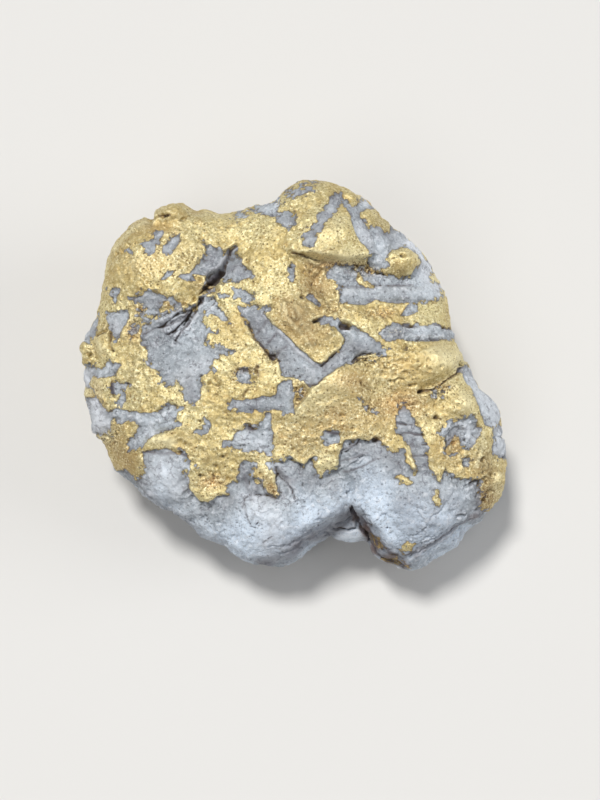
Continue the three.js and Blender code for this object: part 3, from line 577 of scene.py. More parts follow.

# Where shade is painted on: the surface is darker there, partly its own dull tone but mostly painted
# shade on slopes, hollows and undersides turned from the light. Above a strength of 1 it is a painted
# dark shadow in a seam.
SHADE_AND_DULL_STROKES = [Stroke(*row) for row in (
    # painted shadow in the seams, and the deepest painted shade
    (0.8, 1.9, [(-20, 32.6), (-21.8, 30.8), (-22.6, 29.6)]), (0.5, 1.6, [(-24.9, 24.4), (-24.2, 25.8)]),
    (0.5, 1.3, [(-17.4, 37.8), (-18.4, 35.6), (-19.4, 33.6)]),
    (0.4, 1.2, [(8.6, -33), (11.8, -30.4), (14, -29.4)]),
    (0.35, 1.3, [(-39.4, 16.6), (-36.4, 17.6), (-33, 18.6), (-30, 20), (-27.4, 22.4)]),
    (0.3, 1.3, [(-33.3, 16.3), (-31, 17.6), (-29, 19.6), (-27.2, 21.4)]),
    (0.3, 1.2, [(-31.3, 14.8), (-30, 16.6), (-28.2, 18.6), (-25.9, 22.2)]),
    (0.5, 1.7, [(-1.8, 36.7), (0.6, 36.2), (3, 35.4)]), (0.8, 1.6, [(10.8, 18.9), (12.2, 18.7)]),
    (0.7, 1.7, [(-9.8, 13.6), (-8.4, 11.8), (-7, 10.4)]),
    (0.4, 1.7, [(13.6, 9.4), (15, 10.2), (17, 10.6)]), (0.3, 1.3, [(26, 18.8), (29, 18.4)]),
    (0.3, 1.3, [(33.4, 18.6), (35.6, 18), (38, 17.5)]),
    (0.35, 1.6, [(29.9, 2), (33, 2.6), (36, 4.6), (38.6, 6.4), (40, 8)]),
    (0.4, 1.5, [(1.6, 3.6), (4.4, 4), (6.6, 5.4)]), (0.35, 1.7, [(-35.4, 46.1), (-32.6, 46.3)]),
    (0.4, 1.5, [(-37.6, 44.4), (-36.8, 45)]),
    (0.35, 1.3, [(-50.6, 16.6), (-49.6, 17.4), (-48.5, 18.5)]),
    (0.35, 1.3, [(-47.6, 17), (-47.2, 15), (-47, 12.6)]),
    (0.4, 1.6, [(12.5, -26.9), (13.8, -29.6), (15.4, -32.4), (17.2, -34.5)]),
    (0.4, 1.5, [(15, -29.4), (18.2, -32.8), (21.6, -36.4), (24.4, -38.6)]),
    (0.35, 1.5, [(16, -32.2), (19, -35.8), (22.4, -39.2), (26, -41.4)]),
    (0.35, 1.4, [(26, -39), (32, -37.6), (38, -34), (44, -29.8)]),
    (0.3, 1.2, [(9.8, -13), (12.4, -12.2), (15.3, -10.8)]),
    (0.25, 1.1, [(10.6, -15.6), (14, -14.4), (18, -12.6)]),
    (0.25, 1.1, [(11, -18), (15, -16.8), (20, -14.4)]),
    (0.35, 1.2, [(24, -5.6), (27, -6.2), (29.6, -5.8)]),
    (0.35, 1.2, [(25, -8.6), (27.6, -8.2), (30.8, -8.8)]),
    (0.35, 1.2, [(26.2, -11), (29, -11.6), (31.6, -11.2)]), (0.35, 1.1, [(27.6, -14), (32, -14)]),
    (0.3, 1.1, [(10.5, 28.2), (18, 28.4), (28, 28.8)]),
    (0.3, 1.2, [(-6.2, -17.4), (-5, -19.4), (-3.4, -20.6), (-2, -22.4), (-1.4, -24.6)]),
    (0.3, 1.2, [(-8.4, -23.9), (-12.6, -23.7), (-14, -24.8), (-14.5, -27)]),
    (0.25, 1.1, [(-13.9, -26), (-13.3, -29), (-12.4, -31.4)]),
    (0.25, 1.2, [(-9.2, -35.8), (-7, -34.2)]),
    (0.4, 1.3, [(-39.4, -12.8), (-36, -13.4), (-30, -13.2), (-27.8, -14.2)]),
    (0.4, 1.5, [(-46.8, 4.4), (-46.4, 1.4)]), (0.3, 1.4, [(-14.3, 0.6), (-13.8, 1.8), (-12.7, 2.7)]),
    (0.5, 1.4, [(-16, 7.4), (-14, 8), (-12, 7)]), (0.5, 1.4, [(-11.6, 7.4), (-10.6, 8.4), (-10.4, 6)]),
    (0.6, 1.5, [(-12.8, -7), (-11.6, -7.4)]), (0.5, 1.3, [(7, -8.2), (9.4, -8.4)]),
    (0.5, 1.4, [(33.4, -4.2), (35, -4.6)]),
    # gold: painted shade on its darker slopes and hollows, partly its own dull brown
    (4.5, 1, [(-2, 23), (1, 19), (4, 16)]), (3.6, 1, [(4, 33), (3.5, 29), (6, 26.5)]),
    (3, 0.85, [(46, -14), (47, -19), (46, -25)]), (3, 0.5, [(-48, -8), (-45, -13), (-41, -17)]),
    (1.8, 0.45, [(-52.6, 6), (-51, 0), (-48, -4)]), (2.6, 0.4, [(22, 0), (27, 0), (31, -3)]),
    (2, 0.4, [(-51, 19), (-51.6, 12)]), (2, 0.35, [(-46, 36), (-42, 42), (-36, 46), (-26, 47)]),
    (1.6, 0.5, [(-26, 29), (-24, 26.6)]), (2, 0.35, [(-28, -10), (-24, -14), (-20, -16)]),
    (1.8, 0.85, [(-9.6, -18.4), (-7.4, -22), (-6.4, -24)]), (1.6, 0.8, [(2, 33), (3, 29), (5, 26.4)]),
    (2.6, 0.4, [(14, 5), (17, 2), (20, -2)]), (2.2, 0.4, [(-2, -10), (0, -13)]),
    (1.2, 0.5, [(-52.4, 6), (-51.6, -1)]), (5, 0.3, [(-42, 2), (-40, 10), (-38, 14)]),
    (1.4, 0.5, [(23.4, 33.4), (25, 31.6)]), (5, 0.35, [(-34, 38), (-27, 35)]),
    (2, 0.35, [(-18, 20), (-15, 14)]), (2.6, 0.4, [(4, 26), (4, 30)]),
    (3, 0.35, [(-32, -11), (-28, -9)]),
    # quartz windows: painted shade in their recesses and along their shadowed sides, partly dirt
    (2.6, 0.5, [(-12, 20), (-7, 14), (-3, 10)]), (5, 0.35, [(28, -25), (32, -29)]),
    (0.8, 0.9, [(-14.5, 21), (-12, 16.5), (-9, 12.8), (-5.4, 9.6)]),
    (0.5, 0.8, [(-9.4, 21), (-6, 17.4), (0, 11.2), (4.4, 8)]),
    (2.4, 0.4, [(-2, -18), (3, -20.6), (8, -20)]), (2, 0.4, [(-24, -27), (-17, -25)]),
    (1.6, 0.5, [(-3, 51.4), (1, 52.4), (5, 54.4)]), (1.4, 0.5, [(38, -12.6), (37, -10.6), (39, -8)]),
    (1.2, 0.2, [(14, 48.4), (17, 40), (19.4, 35.6)]), (2.6, 0.4, [(20, 44), (23, 41), (26, 39)]),
    (2.2, 0.3, [(-13, 20), (-9, 15), (-4, 10), (0, 7), (5, 6.4)]),
    (2, 0.5, [(6, 8), (12, 13), (18, 13)]), (3, 0.55, [(-23, 36), (-20, 33.4), (-15, 33)]),
    (1.6, 0.5, [(9, 51), (5, 44), (2, 39)]), (1.5, 0.3, [(-17, -1.4), (-8, -1.2), (-4, 2)]),
    (2, 0.45, [(-41, 25), (-36, 24.4), (-30, 23.6)]), (2, 0.5, [(-27.6, 5), (-27, 1)]),
    (1.4, 0.5, [(-38, 18), (-33, 19), (-27, 21.6)]), (2, 0.3, [(-46, 20), (-45, 16)]),
    (1.6, 0.4, [(-4, 45), (-2, 45)]), (2, 0.5, [(14, 32), (19, 32)]),
    (1.6, 0.4, [(9.6, 27), (12, 25.6)]), (1.6, 0.4, [(22, 16.6), (26, 16.6)]),
    (2.4, 0.4, [(26, -5), (29, -12), (31, -17)]), (3, 0.5, [(14, -12), (20, -13), (24, -16)]),
    (2.4, 0.5, [(-14, -17.5), (-14.6, -21), (-12, -23.4)]), (2, 0.5, [(-5, -18), (-3, -21)]),
    (0.9, 0.9, [(-13.8, -19), (-13.4, -22.4), (-12.2, -24.8)]),
    (1.2, 0.8, [(-5.8, -17.4), (-4, -19.6), (-1.4, -20)]),
    (0.8, 0.7, [(-11, -21), (-10.6, -24), (-9, -25.4)]), (1, 0.5, [(-3, -36), (2, -33.6), (6, -31)]),
    (0.45, 1.1, [(-10.8, 16.8), (-9, 18.6), (-8.6, 20)]),
    (0.45, 1.1, [(-8.4, 14), (-7, 15), (-5.8, 16.6)]),
    (0.45, 1.1, [(-6, 10.8), (-5.4, 12.4), (-3.4, 13.4)]),
    (0.45, 1, [(5.6, 6.8), (6.4, 8.4), (6.2, 9.6)]), (0.4, 0.3, [(17, 25), (17.4, 26.8), (17, 28.2)]),
    (0.4, 0.3, [(25, 25), (25.2, 27), (26, 28)]),
    # the lower end, where it turns under: painted shade on the underside
    (2.6, 1, [(13, -28.4), (8, -32.4), (2, -35.6), (-3, -38)]), (2, 0.8, [(-3, -39), (-10, -41)]),
    (1.6, 1, [(14.4, -29), (18, -33.4), (22, -37.4), (26, -40.4)]),
    (1.4, 0.9, [(15.4, -31), (17, -36)]), (1.4, 0.8, [(29, -39), (35, -36), (41, -32), (46, -28)]),
    (4, 0.3, [(36, -24), (40, -28)]),
    (1.4, 0.5, [(-39.6, -20), (-38, -23), (-34, -27), (-28, -31), (-20, -36)]),
)]

# Painted highlights: where the surface is painted lighter as if it caught more light; a few strokes also
# follow bright scratches.
PAINTED_HIGHLIGHTS = [Stroke(*row) for row in (
    (3.6, 0.35, [(1, -1), (8, 4)]), (0.8, 0.6, [(27.4, 36.4), (28.6, 35)]),
    (1.6, 0.5, [(31.6, 38.6), (34.8, 33)]), (1.6, 1, [(3, 36), (9, 35.4), (15, 35.4)]),
    (4, 0.5, [(-34, -18), (-31, -21)]), (1.6, 0.5, [(15, 43), (17, 39)]),
    (2, 0.55, [(42, 6), (46, 0), (49, -6), (50.4, -13)]),
    (1.6, 0.9, [(-50.8, -1), (-49, -5), (-47.6, -9)]), (1.2, 0.8, [(-53.4, 20), (-54, 16)]),
    (1.2, 0.8, [(-53, 7), (-52.4, 2)]), (1.6, 0.8, [(42, -7), (42.6, -9)]),
    (3, 0.5, [(-11, -26), (-6, -31), (-8, -36)]), (1.6, 0.5, [(-47, 19), (-45, 17.4)]),
    (2.6, 0.9, [(28, 38), (33, 32), (35.4, 28)]),
    (0.4, 1, [(-9.2, 21.6), (-6.6, 18.8), (-3.2, 15.4), (0, 12), (3.4, 9.3)]),
    (0.3, 0.5, [(-4.2, 24), (-2.8, 20.4), (0.4, 16.6), (2.8, 13)]),
    (0.3, 0.35, [(-1.2, 23.4), (0.6, 19.6), (3.4, 15.6)]), (1.3, 0.7, [(-50.4, 4.6), (-49.8, 2)]),
    (1.2, 0.6, [(-50.2, 14.6), (-49.4, 12)]), (1.1, 0.9, [(27.4, 35.6), (27.8, 35)]),
    (2.8, 0.8, [(34, 11.4), (38, 9.6)]), (2, 0.7, [(39.4, 1), (41, -1.6)]),
    (1.6, 0.8, [(-36.6, -9.4), (-32.6, -10.6)]), (1.8, 0.6, [(6, -15), (7.4, -16)]),
    (1.6, 0.5, [(-9, -16), (-7.6, -17.6)]), (2.4, 0.4, [(10, 45), (6, 40)]),
    (0.5, 0.7, [(13, 52.6), (16, 50), (18.4, 46.4)]),
    (0.6, 0.6, [(-38, 45.2), (-43, 41.4), (-46.4, 37.6)]), (2, 0.35, [(-14, -10), (-10, -10.8)]),
    (1.4, 0.2, [(12, 26.8), (24, 27), (33, 26.6)]), (1, 0.6, [(10, -34), (15, -34)]),
    (1, 0.8, [(17.4, -36.4), (20.6, -40), (25, -42)]), (2.4, 0.4, [(-30, 5.6), (-24, 9)]),
    (0.4, 0.9, [(26.9, -11), (28.4, -16.6)]), (0.5, 0.7, [(45.4, -8), (45.8, -12), (44, -16.4)]),
    (1, 0.5, [(49.4, -19), (49, -23)]),
)]

# ------------------------------------------------------------------ how the surface is worked
HIGHEST = 4.0  # mm that the surface may rise above the blank
DEEPEST = 6.0  # mm that it may be cut back
MERGE = 0.01  # mm, within which two points are one
CELL = 0.8  # mm between points on the blank
SMOOTHING = 0.5  # share of the way to its neighbours that each round of smoothing moves a point
COARSE_ROUNDS = 4
FINE_ROUNDS = 3

# How squarely a place must face the eye, from where it starts to count to where it counts fully.
SEEN = (-0.2, 0.06)  # to carry the windows, cuts and other marks
SHAPED = (-0.5, -0.1)  # to share in the mounds, ledges and rods
BRUSHED = (-0.5, 0)  # to take the strokes
FINER = -0.02  # above this the blank is cut finer
HIDDEN = -0.05  # and below this the finished stone keeps fewer triangles
HIDDEN_KEPT = 0.5  # as a share
MOST_FACES = 196000

# Smooth random numbers on the skin: the size in mm over which they change, and their seed.
SWELL = (8, 3)
KNOBBLE = (4.5, 7)
GRAIN = (0.9, 4)
BROAD = (15, 8)
HEAVE = (8, 9)
DENT = (5, 10)
GRIME = (11, 12)
LAYER_BEND = (12, 14)
# And those that push edges about: size and push in mm, and seed.
EDGE_WANDER = ((3.4, 0.35, 1), (1.3, 0.45, 2))
END_WANDER = ((14, 7, 6), (6, 5, 13))

# Relief in mm, from knobs, the largest, to grain, the finest.
Relief = namedtuple("Relief", "knobs lumps bumps grain")
ON_QUARTZ = Relief(0.4, 0.5, 0.36, 0.3)
ON_GOLD = Relief(0.35, 0.3, 0.26, 0.22)
CREASE = 0.5  # mm deep, where two knobs meet
LOWER_KNOBS = 0.3  # mm more on the quartz of the lower end
LOWER_WORN = 0.4  # share of its bumps and grain that is worn away there
CALMED = 0.4  # share of its relief that quartz loses where edges run straight
ROLL = 0.5  # mm, all over

# Relief behind, in mm: how high it is lumpy and heaves, and how deep its dents, folds and seams are.
Behind = namedtuple("Behind", "lumps heave dents folds seams")
BEHIND = Behind(2.8, 1.4, 2.6, 1.0, 0.9)

# Along an edge between gold and quartz, in mm into the quartz.
FAR = 9.0  # as good as endless
OUTLINE_REACH = 4  # how near to an outline's box its depth is measured
INTO_QUARTZ = (-0.2, 0.4)  # from where the quartz's own relief starts to where it is full
BANK = (-0.3, 0.45)  # from where a window's floor starts to drop to where it is down
CROWN_START = 0.25  # where a window's quartz starts to swell up again
FLAKE_BANK = (-0.15, 0.6)  # the same for a flake, into its gold
LIP = 0.08  # how high the gold curls up along the edge
LIP_PLACE = -0.55
LIP_WIDTH = 0.45
PALE = (1, 11)  # how far into the lower end its quartz starts to be paler, and is palest
NEAR_FLOOR = (0.4, 4)  # mm up, between which the relief fades out towards the floor
LOW_CUT = 0.3  # share of a hollow's depth that is left at the floor

# Behind, where the eye's marks don't reach.
LOWER_END = -17.0  # mm up; below it the stone is quartz, and above it gold with laths of quartz
END_EDGE = (1.0, 0.8, 3.0)  # mm: floor, crown and run, as for a window
LAYER = 5.0  # mm between the seams in the quartz
LATH_SEED = 5
LATH_TRIES = 900
LATH_SPACING = 7.5  # mm, at least, from one lath's middle to the next
LATH_LENGTH = (0.9, 3)  # of which the square, in mm, is half a lath's length
LATH_WIDTH = (0.7, 3.4)  # mm, half of it
LATH_DEPTH = 7  # mm into the stone
LATH_FLOOR = 1.1  # mm
LATH_CROWN = 0.8  # mm

# The small pits of the crowds.
PIT_SEED = 11
PIT_RADIUS = (0.3, 0.65)  # mm
PIT_DEPTH = (0.7, 1.5)  # as a share of the radius

# How many times over heights are evened out to tell what is hollow.
HOLLOW_ROUNDS = 6
BROAD_HOLLOW_ROUNDS = 60


def add_and_apply(stone, kind, **settings):
    """Adds a modifier of this kind to the stone and applies it."""
    bpy.context.view_layer.objects.active = stone
    modifier = stone.modifiers.new(kind.lower(), kind)
    for name, value in settings.items():
        setattr(modifier, name, value)
    bpy.ops.object.modifier_apply(modifier=modifier.name)


def positions(stone):
    """Where the stone's points are, in mm."""
    places = np.empty(len(stone.data.vertices) * 3, np.float32)
    stone.data.vertices.foreach_get("co", places)
    return places.reshape(-1, 3).astype(float) / MM


def normals(stone):
    """Which way the stone faces at its points."""
    directions = np.empty(len(stone.data.vertices) * 3, np.float32)
    stone.data.vertices.foreach_get("normal", directions)
    return directions.reshape(-1, 3).astype(float)


def smooth_step(value, low, high):
    """0 where the value is at low, 1 where it is at high, smoothly between."""
    share = np.clip((value - low) / (high - low), 0, 1)
    return share * share * (3 - 2 * share)


def ridge(value, width):
    """1 where the value is zero, falling to 0 at width on either side."""
    return np.clip(1 - np.abs(value) / width, 0, 1)


def wander(points, size, seed):
    """Three smooth random numbers from -1 to 1 for each point, changing over size mm."""
    shift = Vector((17.3 * seed, -9.1 * seed, 5.7 * seed))
    return np.array([noise.noise_vector(Vector(point) / size + shift) for point in points])


def off_sheet(across, up, out):
    """The place, in metres, that shows at this place on the sheet and lies this far out of it."""
    nearness = 1 - out / EYE_DISTANCE
    flat = Vector((across, 0, 0)) + sheet_up * up
    return (sheet_middle + flat * nearness + to_eye * out) * MM


def add_block(name, block):
    """A prism with its corners moved to the block's own and its edges worn round."""
    bpy.ops.mesh.primitive_cylinder_add(vertices=len(block.top), radius=1, depth=1)
    made = bpy.context.object
    made.name = name
    rings = {True: [], False: []}
    for corner in made.data.vertices:
        rings[corner.co.z > 0].append(corner)
    for is_top, places in ((True, block.top), (False, block.foot)):
        for corner, place in zip(rings[is_top], places):
            corner.co = off_sheet(*place)
    bpy.ops.object.mode_set(mode="EDIT")
    bpy.ops.mesh.select_all(action="SELECT")
    bpy.ops.mesh.normals_make_consistent(inside=False)
    bpy.ops.object.mode_set(mode="OBJECT")
    add_and_apply(made, "BEVEL", width=block.worn * MM, segments=4)
    return made


def add_knob(knob):
    """A ball stretched to the knob's half sizes and turned square to the eye."""
    place = off_sheet(knob.across, knob.up, knob.out)
    bpy.ops.mesh.primitive_uv_sphere_add(segments=24, ring_count=16, radius=MM, location=place)
    made = bpy.context.object
    made.scale = (knob.wide, knob.high, knob.deep)
    made.rotation_euler = (math.pi / 2 - LOOK_DOWN, 0, 0)
    bpy.ops.object.transform_apply(location=True, rotation=True, scale=True)
    return made


def blank():
    """The stone with its blocks and knobs, in even cells, finer where it faces the eye."""
    bpy.ops.object.select_all(action="DESELECT")
    joined = [add_block(name, block) for name, block in BLOCKS.items()]
    joined += [add_knob(knob) for knob in KNOBS]
    stone = bpy.data.objects.new("gold_and_quartz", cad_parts["nugget"].data.copy())
    bpy.context.collection.objects.link(stone)
    bpy.context.view_layer.objects.active = stone
    stone.select_set(True)

    bpy.ops.object.mode_set(mode="EDIT")
    bpy.ops.mesh.select_all(action="SELECT")
    bpy.ops.mesh.remove_doubles(threshold=MERGE * MM)
    bpy.ops.object.mode_set(mode="OBJECT")
    bpy.ops.object.shade_smooth()
    add_and_apply(stone, "SUBSURF", levels=2, render_levels=2)
    for piece in joined:
        piece.select_set(True)
    stone.select_set(True)
    bpy.context.view_layer.objects.active = stone
    bpy.ops.object.join()
    add_and_apply(stone, "REMESH", mode="VOXEL", voxel_size=CELL * MM, use_smooth_shade=True)
    add_and_apply(stone, "SMOOTH", factor=SMOOTHING, iterations=COARSE_ROUNDS)
    refine(stone, facing(stone) > FINER)
    add_and_apply(stone, "SMOOTH", factor=SMOOTHING, iterations=FINE_ROUNDS)
    return stone


def choose(stone, chosen):
    """Selects these points of the stone and nothing else, and stays in edit mode."""
    for part in (stone.data.polygons, stone.data.edges):
        part.foreach_set("select", np.zeros(len(part), bool))
    stone.data.vertices.foreach_set("select", chosen)
    bpy.ops.object.mode_set(mode="EDIT")
    bpy.ops.mesh.select_mode(type="VERT")


def refine(stone, chosen):
    """Cuts every face whose corners are all chosen into four."""
    choose(stone, chosen)
    bpy.ops.mesh.subdivide(number_cuts=1)
    bpy.ops.object.mode_set(mode="OBJECT")


def facing(stone):
    """How squarely each point faces the eye, from 1 down to -1."""
    sight = np.array(eye) - positions(stone)
    sight /= np.linalg.norm(sight, axis=1)[:, None]
    return np.einsum("ij,ij->i", sight, normals(stone))


def on_sheet(points):
    """Where each point of the stone shows on the sheet."""
    from_eye = points - np.array(eye)
    nearness = EYE_DISTANCE / -(from_eye @ np.array(to_eye))
    return np.stack([from_eye[:, 0] * nearness, from_eye @ np.array(sheet_up) * nearness], axis=1)


# ------------------------------------------------------------------ measuring from the marks
class Nearest:
    """The nearest place on a path to each spot: how far, on which side, and how far past the ends."""

    def __init__(self, spots, path, closed=False):
        corners = np.array(path, float)
        starts = corners if closed else corners[:-1]
        ends = np.roll(corners, -1, axis=0) if closed else corners[1:]
        self.gap = np.full(len(spots), np.inf)
        self.right_side = np.zeros(len(spots), bool)
        self.past_end = np.zeros(len(spots))
        for index, (start, end) in enumerate(zip(starts, ends)):
            along = end - start
            length = np.hypot(*along)
            reach = (spots - start) @ along / length
            off = spots - start - np.clip(reach, 0, length)[:, None] * along / length
            gap = np.hypot(off[:, 0], off[:, 1])
            nearer = gap < self.gap
            side = along[0] * (spots[:, 1] - start[1]) - along[1] * (spots[:, 0] - start[0])
            past = np.zeros(len(spots))
            if index == 0:
                past = np.maximum(past, -reach)
            if index == len(starts) - 1:
                past = np.maximum(past, reach - length)
            self.gap = np.where(nearer, gap, self.gap)
            self.right_side = np.where(nearer, side < 0, self.right_side)
            self.past_end = np.where(nearer, past, self.past_end)


def near(spots, path, margin):
    """Which spots lie within margin of a path's own box."""
    corners = np.array(path, float)
    return np.all((spots > corners.min(0) - margin) & (spots < corners.max(0) + margin), axis=1)


def depth_inside(spots, outline):
    """How far inside an outline each spot lies, below zero outside it."""
    depth = np.full(len(spots), -FAR)
    close = near(spots, outline, OUTLINE_REACH)
    across, up = spots[close].T
    inside = np.zeros(len(across), bool)
    for (ax, ay), (bx, by) in zip(outline, outline[1:] + outline[:1]):
        if ay != by:
            crossing = ax + (up - ay) * (bx - ax) / (by - ay)
            inside ^= ((ay > up) != (by > up)) & (across < crossing)
    gap = Nearest(spots[close], outline, closed=True).gap
    depth[close] = np.where(inside, gap, -gap)
    return depth


def window_profile(inside, floor, crown, run):
    """How high a window's quartz lies this far inside its edge."""
    return crown * smooth_step(inside, CROWN_START, run) - floor * smooth_step(inside, *BANK)


def windows_on_face(spots):
    """(depth into quartz, height) from the windows and the flakes left in them."""
    quartz = np.full(len(spots), -FAR)
    height = np.zeros(len(spots))
    for window in WINDOWS:
        inside = depth_inside(spots, window.outline)
        quartz = np.maximum(quartz, inside)
        height = np.minimum(height, window_profile(inside, window.floor, window.crown, window.run))
    for flake in FLAKES:
        inside = depth_inside(spots, flake.outline)
        quartz = np.minimum(quartz, -inside)
        height += flake.rise * smooth_step(inside, *FLAKE_BANK)
    return quartz, height


def cuts_on_face(spots, vary):
    """Depth of the cuts; vary widens and narrows them along their way."""
    depth = np.zeros(len(spots))
    for cut in CUTS:
        close = near(spots, cut.path, 1.5 * cut.width + 0.5)
        gap = Nearest(spots[close], cut.path).gap / vary[close]
        depth[close] = np.maximum(depth[close], cut.depth * (1 - smooth_step(gap, 0, cut.width)))
    return depth


def all_holes():
    """The named holes and those of the crowds."""
    chance = random.Random(PIT_SEED)
    holes = list(HOLES)
    for crowd in CROWDS:
        for _ in range(crowd.count):
            across = chance.gauss(crowd.across, crowd.wide / 2)
            up = chance.gauss(crowd.up, crowd.high / 2)
            radius = chance.uniform(*PIT_RADIUS)
            holes.append(Hole(across, up, radius, radius * chance.uniform(*PIT_DEPTH)))
    return holes


def holes_on_face(spots):
    """Depth of the holes, each a round cup."""
    depth = np.zeros(len(spots))
    for hole in all_holes():
        middle = (hole.across, hole.up)
        close = near(spots, [middle], hole.radius + 0.3)
        gap = np.hypot(*(spots[close] - middle).T)
        cup = hole.depth * (1 - smooth_step(gap, hole.radius * 0.3, hole.radius + 0.15))
        depth[close] = np.maximum(depth[close], cup)
    return depth


def spread(spots, patches):
    """What the patches bring to each spot, added up."""
    total = 0
    for patch in patches:
        across = (spots[:, 0] - patch.across) / patch.wide
        up = (spots[:, 1] - patch.up) / patch.high
        total = total + patch.amount * np.exp(-across ** 2 - up ** 2)
    return total


def brushed(spots, strokes):
    """The strongest of the strokes at each spot."""
    strength = np.zeros(len(spots))
    for stroke in strokes:
        close = near(spots, stroke.path, 2.5 * stroke.width)
        gap = Nearest(spots[close], stroke.path).gap
        here = stroke.strength * np.exp(-((gap / stroke.width) ** 2))
        strength[close] = np.maximum(strength[close], here)
    return strength


def ledges_on_face(spots):
    """Height of the ledges, which fade out past their ends."""
    height = np.zeros(len(spots))
    for ledge in LEDGES:
        near_ledge = Nearest(spots, ledge.path)
        gap = near_ledge.gap
        down = ledge.lift - (ledge.lift + ledge.drop) * smooth_step(gap, 0, ledge.slope)
        down += ledge.drop * smooth_step(gap, ledge.slope, ledge.width)
        up = ledge.lift * np.clip(1 - gap / ledge.fade, 0, 1) ** 1.5
        ends = 1 - smooth_step(near_ledge.past_end, 0, 3)
        height += ends * np.where(near_ledge.right_side, down, up)
    return height


def rods_on_face(spots):
    """Height of the rods, each half round."""
    height = np.zeros(len(spots))
    for rod in RODS:
        close = near(spots, rod.path, rod.width)
        share = np.clip(Nearest(spots[close], rod.path).gap / rod.width, 0, 1)
        height[close] = np.maximum(height[close], rod.rise * np.sqrt(1 - share * share))
    return height


def laths_behind(points, directions, hidden):
    """(depth into quartz, height) where the eye's marks don't reach: laths of quartz at random."""
    chance = random.Random(LATH_SEED)
    places = np.flatnonzero(hidden)
    starts = []
    quartz = LOWER_END - points[:, 1]
    for size, push, seed in END_WANDER:
        quartz = quartz + push * wander(points, size, seed)[:, 0]
    height = window_profile(quartz, *END_EDGE)
    for _ in range(LATH_TRIES):
        start = chance.choice(places)
        if starts and np.linalg.norm(points[starts] - points[start], axis=1).min() < LATH_SPACING:
            continue
        starts.append(start)
        outward = Vector(directions[start])
        aim = Vector((chance.gauss(0, 1), chance.gauss(0, 1), chance.gauss(0, 1)))
        along = aim.cross(outward).normalized()
        half_length = chance.uniform(*LATH_LENGTH) ** 2
        half_width = min(half_length, chance.uniform(*LATH_WIDTH))
        halves = ((along, half_length), (along.cross(outward), half_width), (outward, LATH_DEPTH))
        inside = np.full(len(points), FAR)
        for axis, half in halves:
            inside = np.minimum(inside, half - np.abs((points - points[start]) @ np.array(axis)))
        quartz = np.maximum(quartz, inside)
        profile = window_profile(inside, LATH_FLOOR, LATH_CROWN, half_width)
        height = np.minimum(height, profile)
    return quartz, height


# ------------------------------------------------------------------ carving and marking the stone
def neighbour_average(stone, values, rounds):
    """The values evened out with their neighbours', this many times over."""
    ends = np.empty(len(stone.data.edges) * 2, np.int32)
    stone.data.edges.foreach_get("vertices", ends)
    first, second = ends.reshape(-1, 2).T
    count = np.bincount(first, minlength=len(values)) + np.bincount(second, minlength=len(values))
    for _ in range(rounds):
        total = np.bincount(first, values[second], len(values))
        total += np.bincount(second, values[first], len(values))
        values = 0.5 * values + 0.5 * total / np.maximum(count, 1)
    return values


def mark(stone, name, values):
    """Leaves a number on each point, for the finish to read."""
    attribute = stone.data.attributes.new(name, "FLOAT", "POINT")
    attribute.data.foreach_set("value", values.astype(np.float32))


def move_skin(stone, name, height, most):
    """Moves the skin out by its height, or in, as far as most, which is below zero for in."""
    group = stone.vertex_groups.new(name=name)
    for index, share in enumerate(np.clip(height / most, 0, 1)):
        if share > 0:
            group.add([index], share, "REPLACE")
    add_and_apply(stone, "DISPLACE", vertex_group=name, strength=most * MM, mid_level=0)
    stone.vertex_groups.clear()


class Skin:
    """The blank's points, how far each marking reaches them, and smooth random numbers there."""

    def __init__(self, stone):
        self.points = positions(stone)
        self.directions = normals(stone)
        squareness = facing(stone)
        self.seen = smooth_step(squareness, *SEEN)
        self.behind = 1 - self.seen
        self.shaped = smooth_step(squareness, *SHAPED)
        self.brushable = smooth_step(squareness, *BRUSHED)

        self.pushes = [amount * wander(self.points, size, seed) for size, amount, seed in EDGE_WANDER]
        waves = zip(self.pushes, EDGE_WANDER)
        self.lumps, self.bumps = (push[:, 2] / amount for push, (_, amount, _) in waves)
        self.swell, self.other_swell, self.fray = wander(self.points, *SWELL).T
        self.knobs = wander(self.points, *KNOBBLE)[:, 0]
        self.grain, self.crumbs, _ = wander(self.points, *GRAIN).T

        # how ragged the edges are, and where places are read from for edges, shapes and strokes
        self.calm = np.clip(spread(on_sheet(self.points), CALM), 0, 1) * self.seen
        self.feather = np.clip(1.0 + 1.4 * self.fray, 0.5, 1.8) * (1 - 0.75 * self.calm)
        self.ragged = self.points + sum(self.pushes) * self.feather[:, None]
        self.edge_spots = on_sheet(self.ragged)
        self.spots = on_sheet(self.points + 0.5 * self.pushes[0] + 0.5 * self.pushes[1])
        self.stroke_spots = on_sheet(self.points + 0.6 * self.pushes[0] + 0.3 * self.pushes[1])


def lay_out(skin):
    """(depth into quartz, height, how crumbly) at each point, from the windows and the laths."""
    front_quartz, front_height = windows_on_face(skin.edge_spots)
    back_quartz, back_height = laths_behind(skin.ragged, skin.directions, skin.seen < 0.5)
    quartz = front_quartz * skin.seen + back_quartz * skin.behind
    height = front_height * skin.seen + back_height * skin.behind
    crumbly = np.clip(spread(skin.spots, CRUMBS), 0, 1) * skin.seen
    quartz += skin.feather * (0.9 * skin.bumps + 0.8 * skin.grain)
    quartz = quartz * (1 - crumbly) + (np.clip(quartz, -0.5, 0.5) + 2.4 * skin.crumbs) * crumbly
    height *= np.clip(0.62 + 0.9 * skin.swell, 0.2, 1.3)
    return quartz, height, crumbly


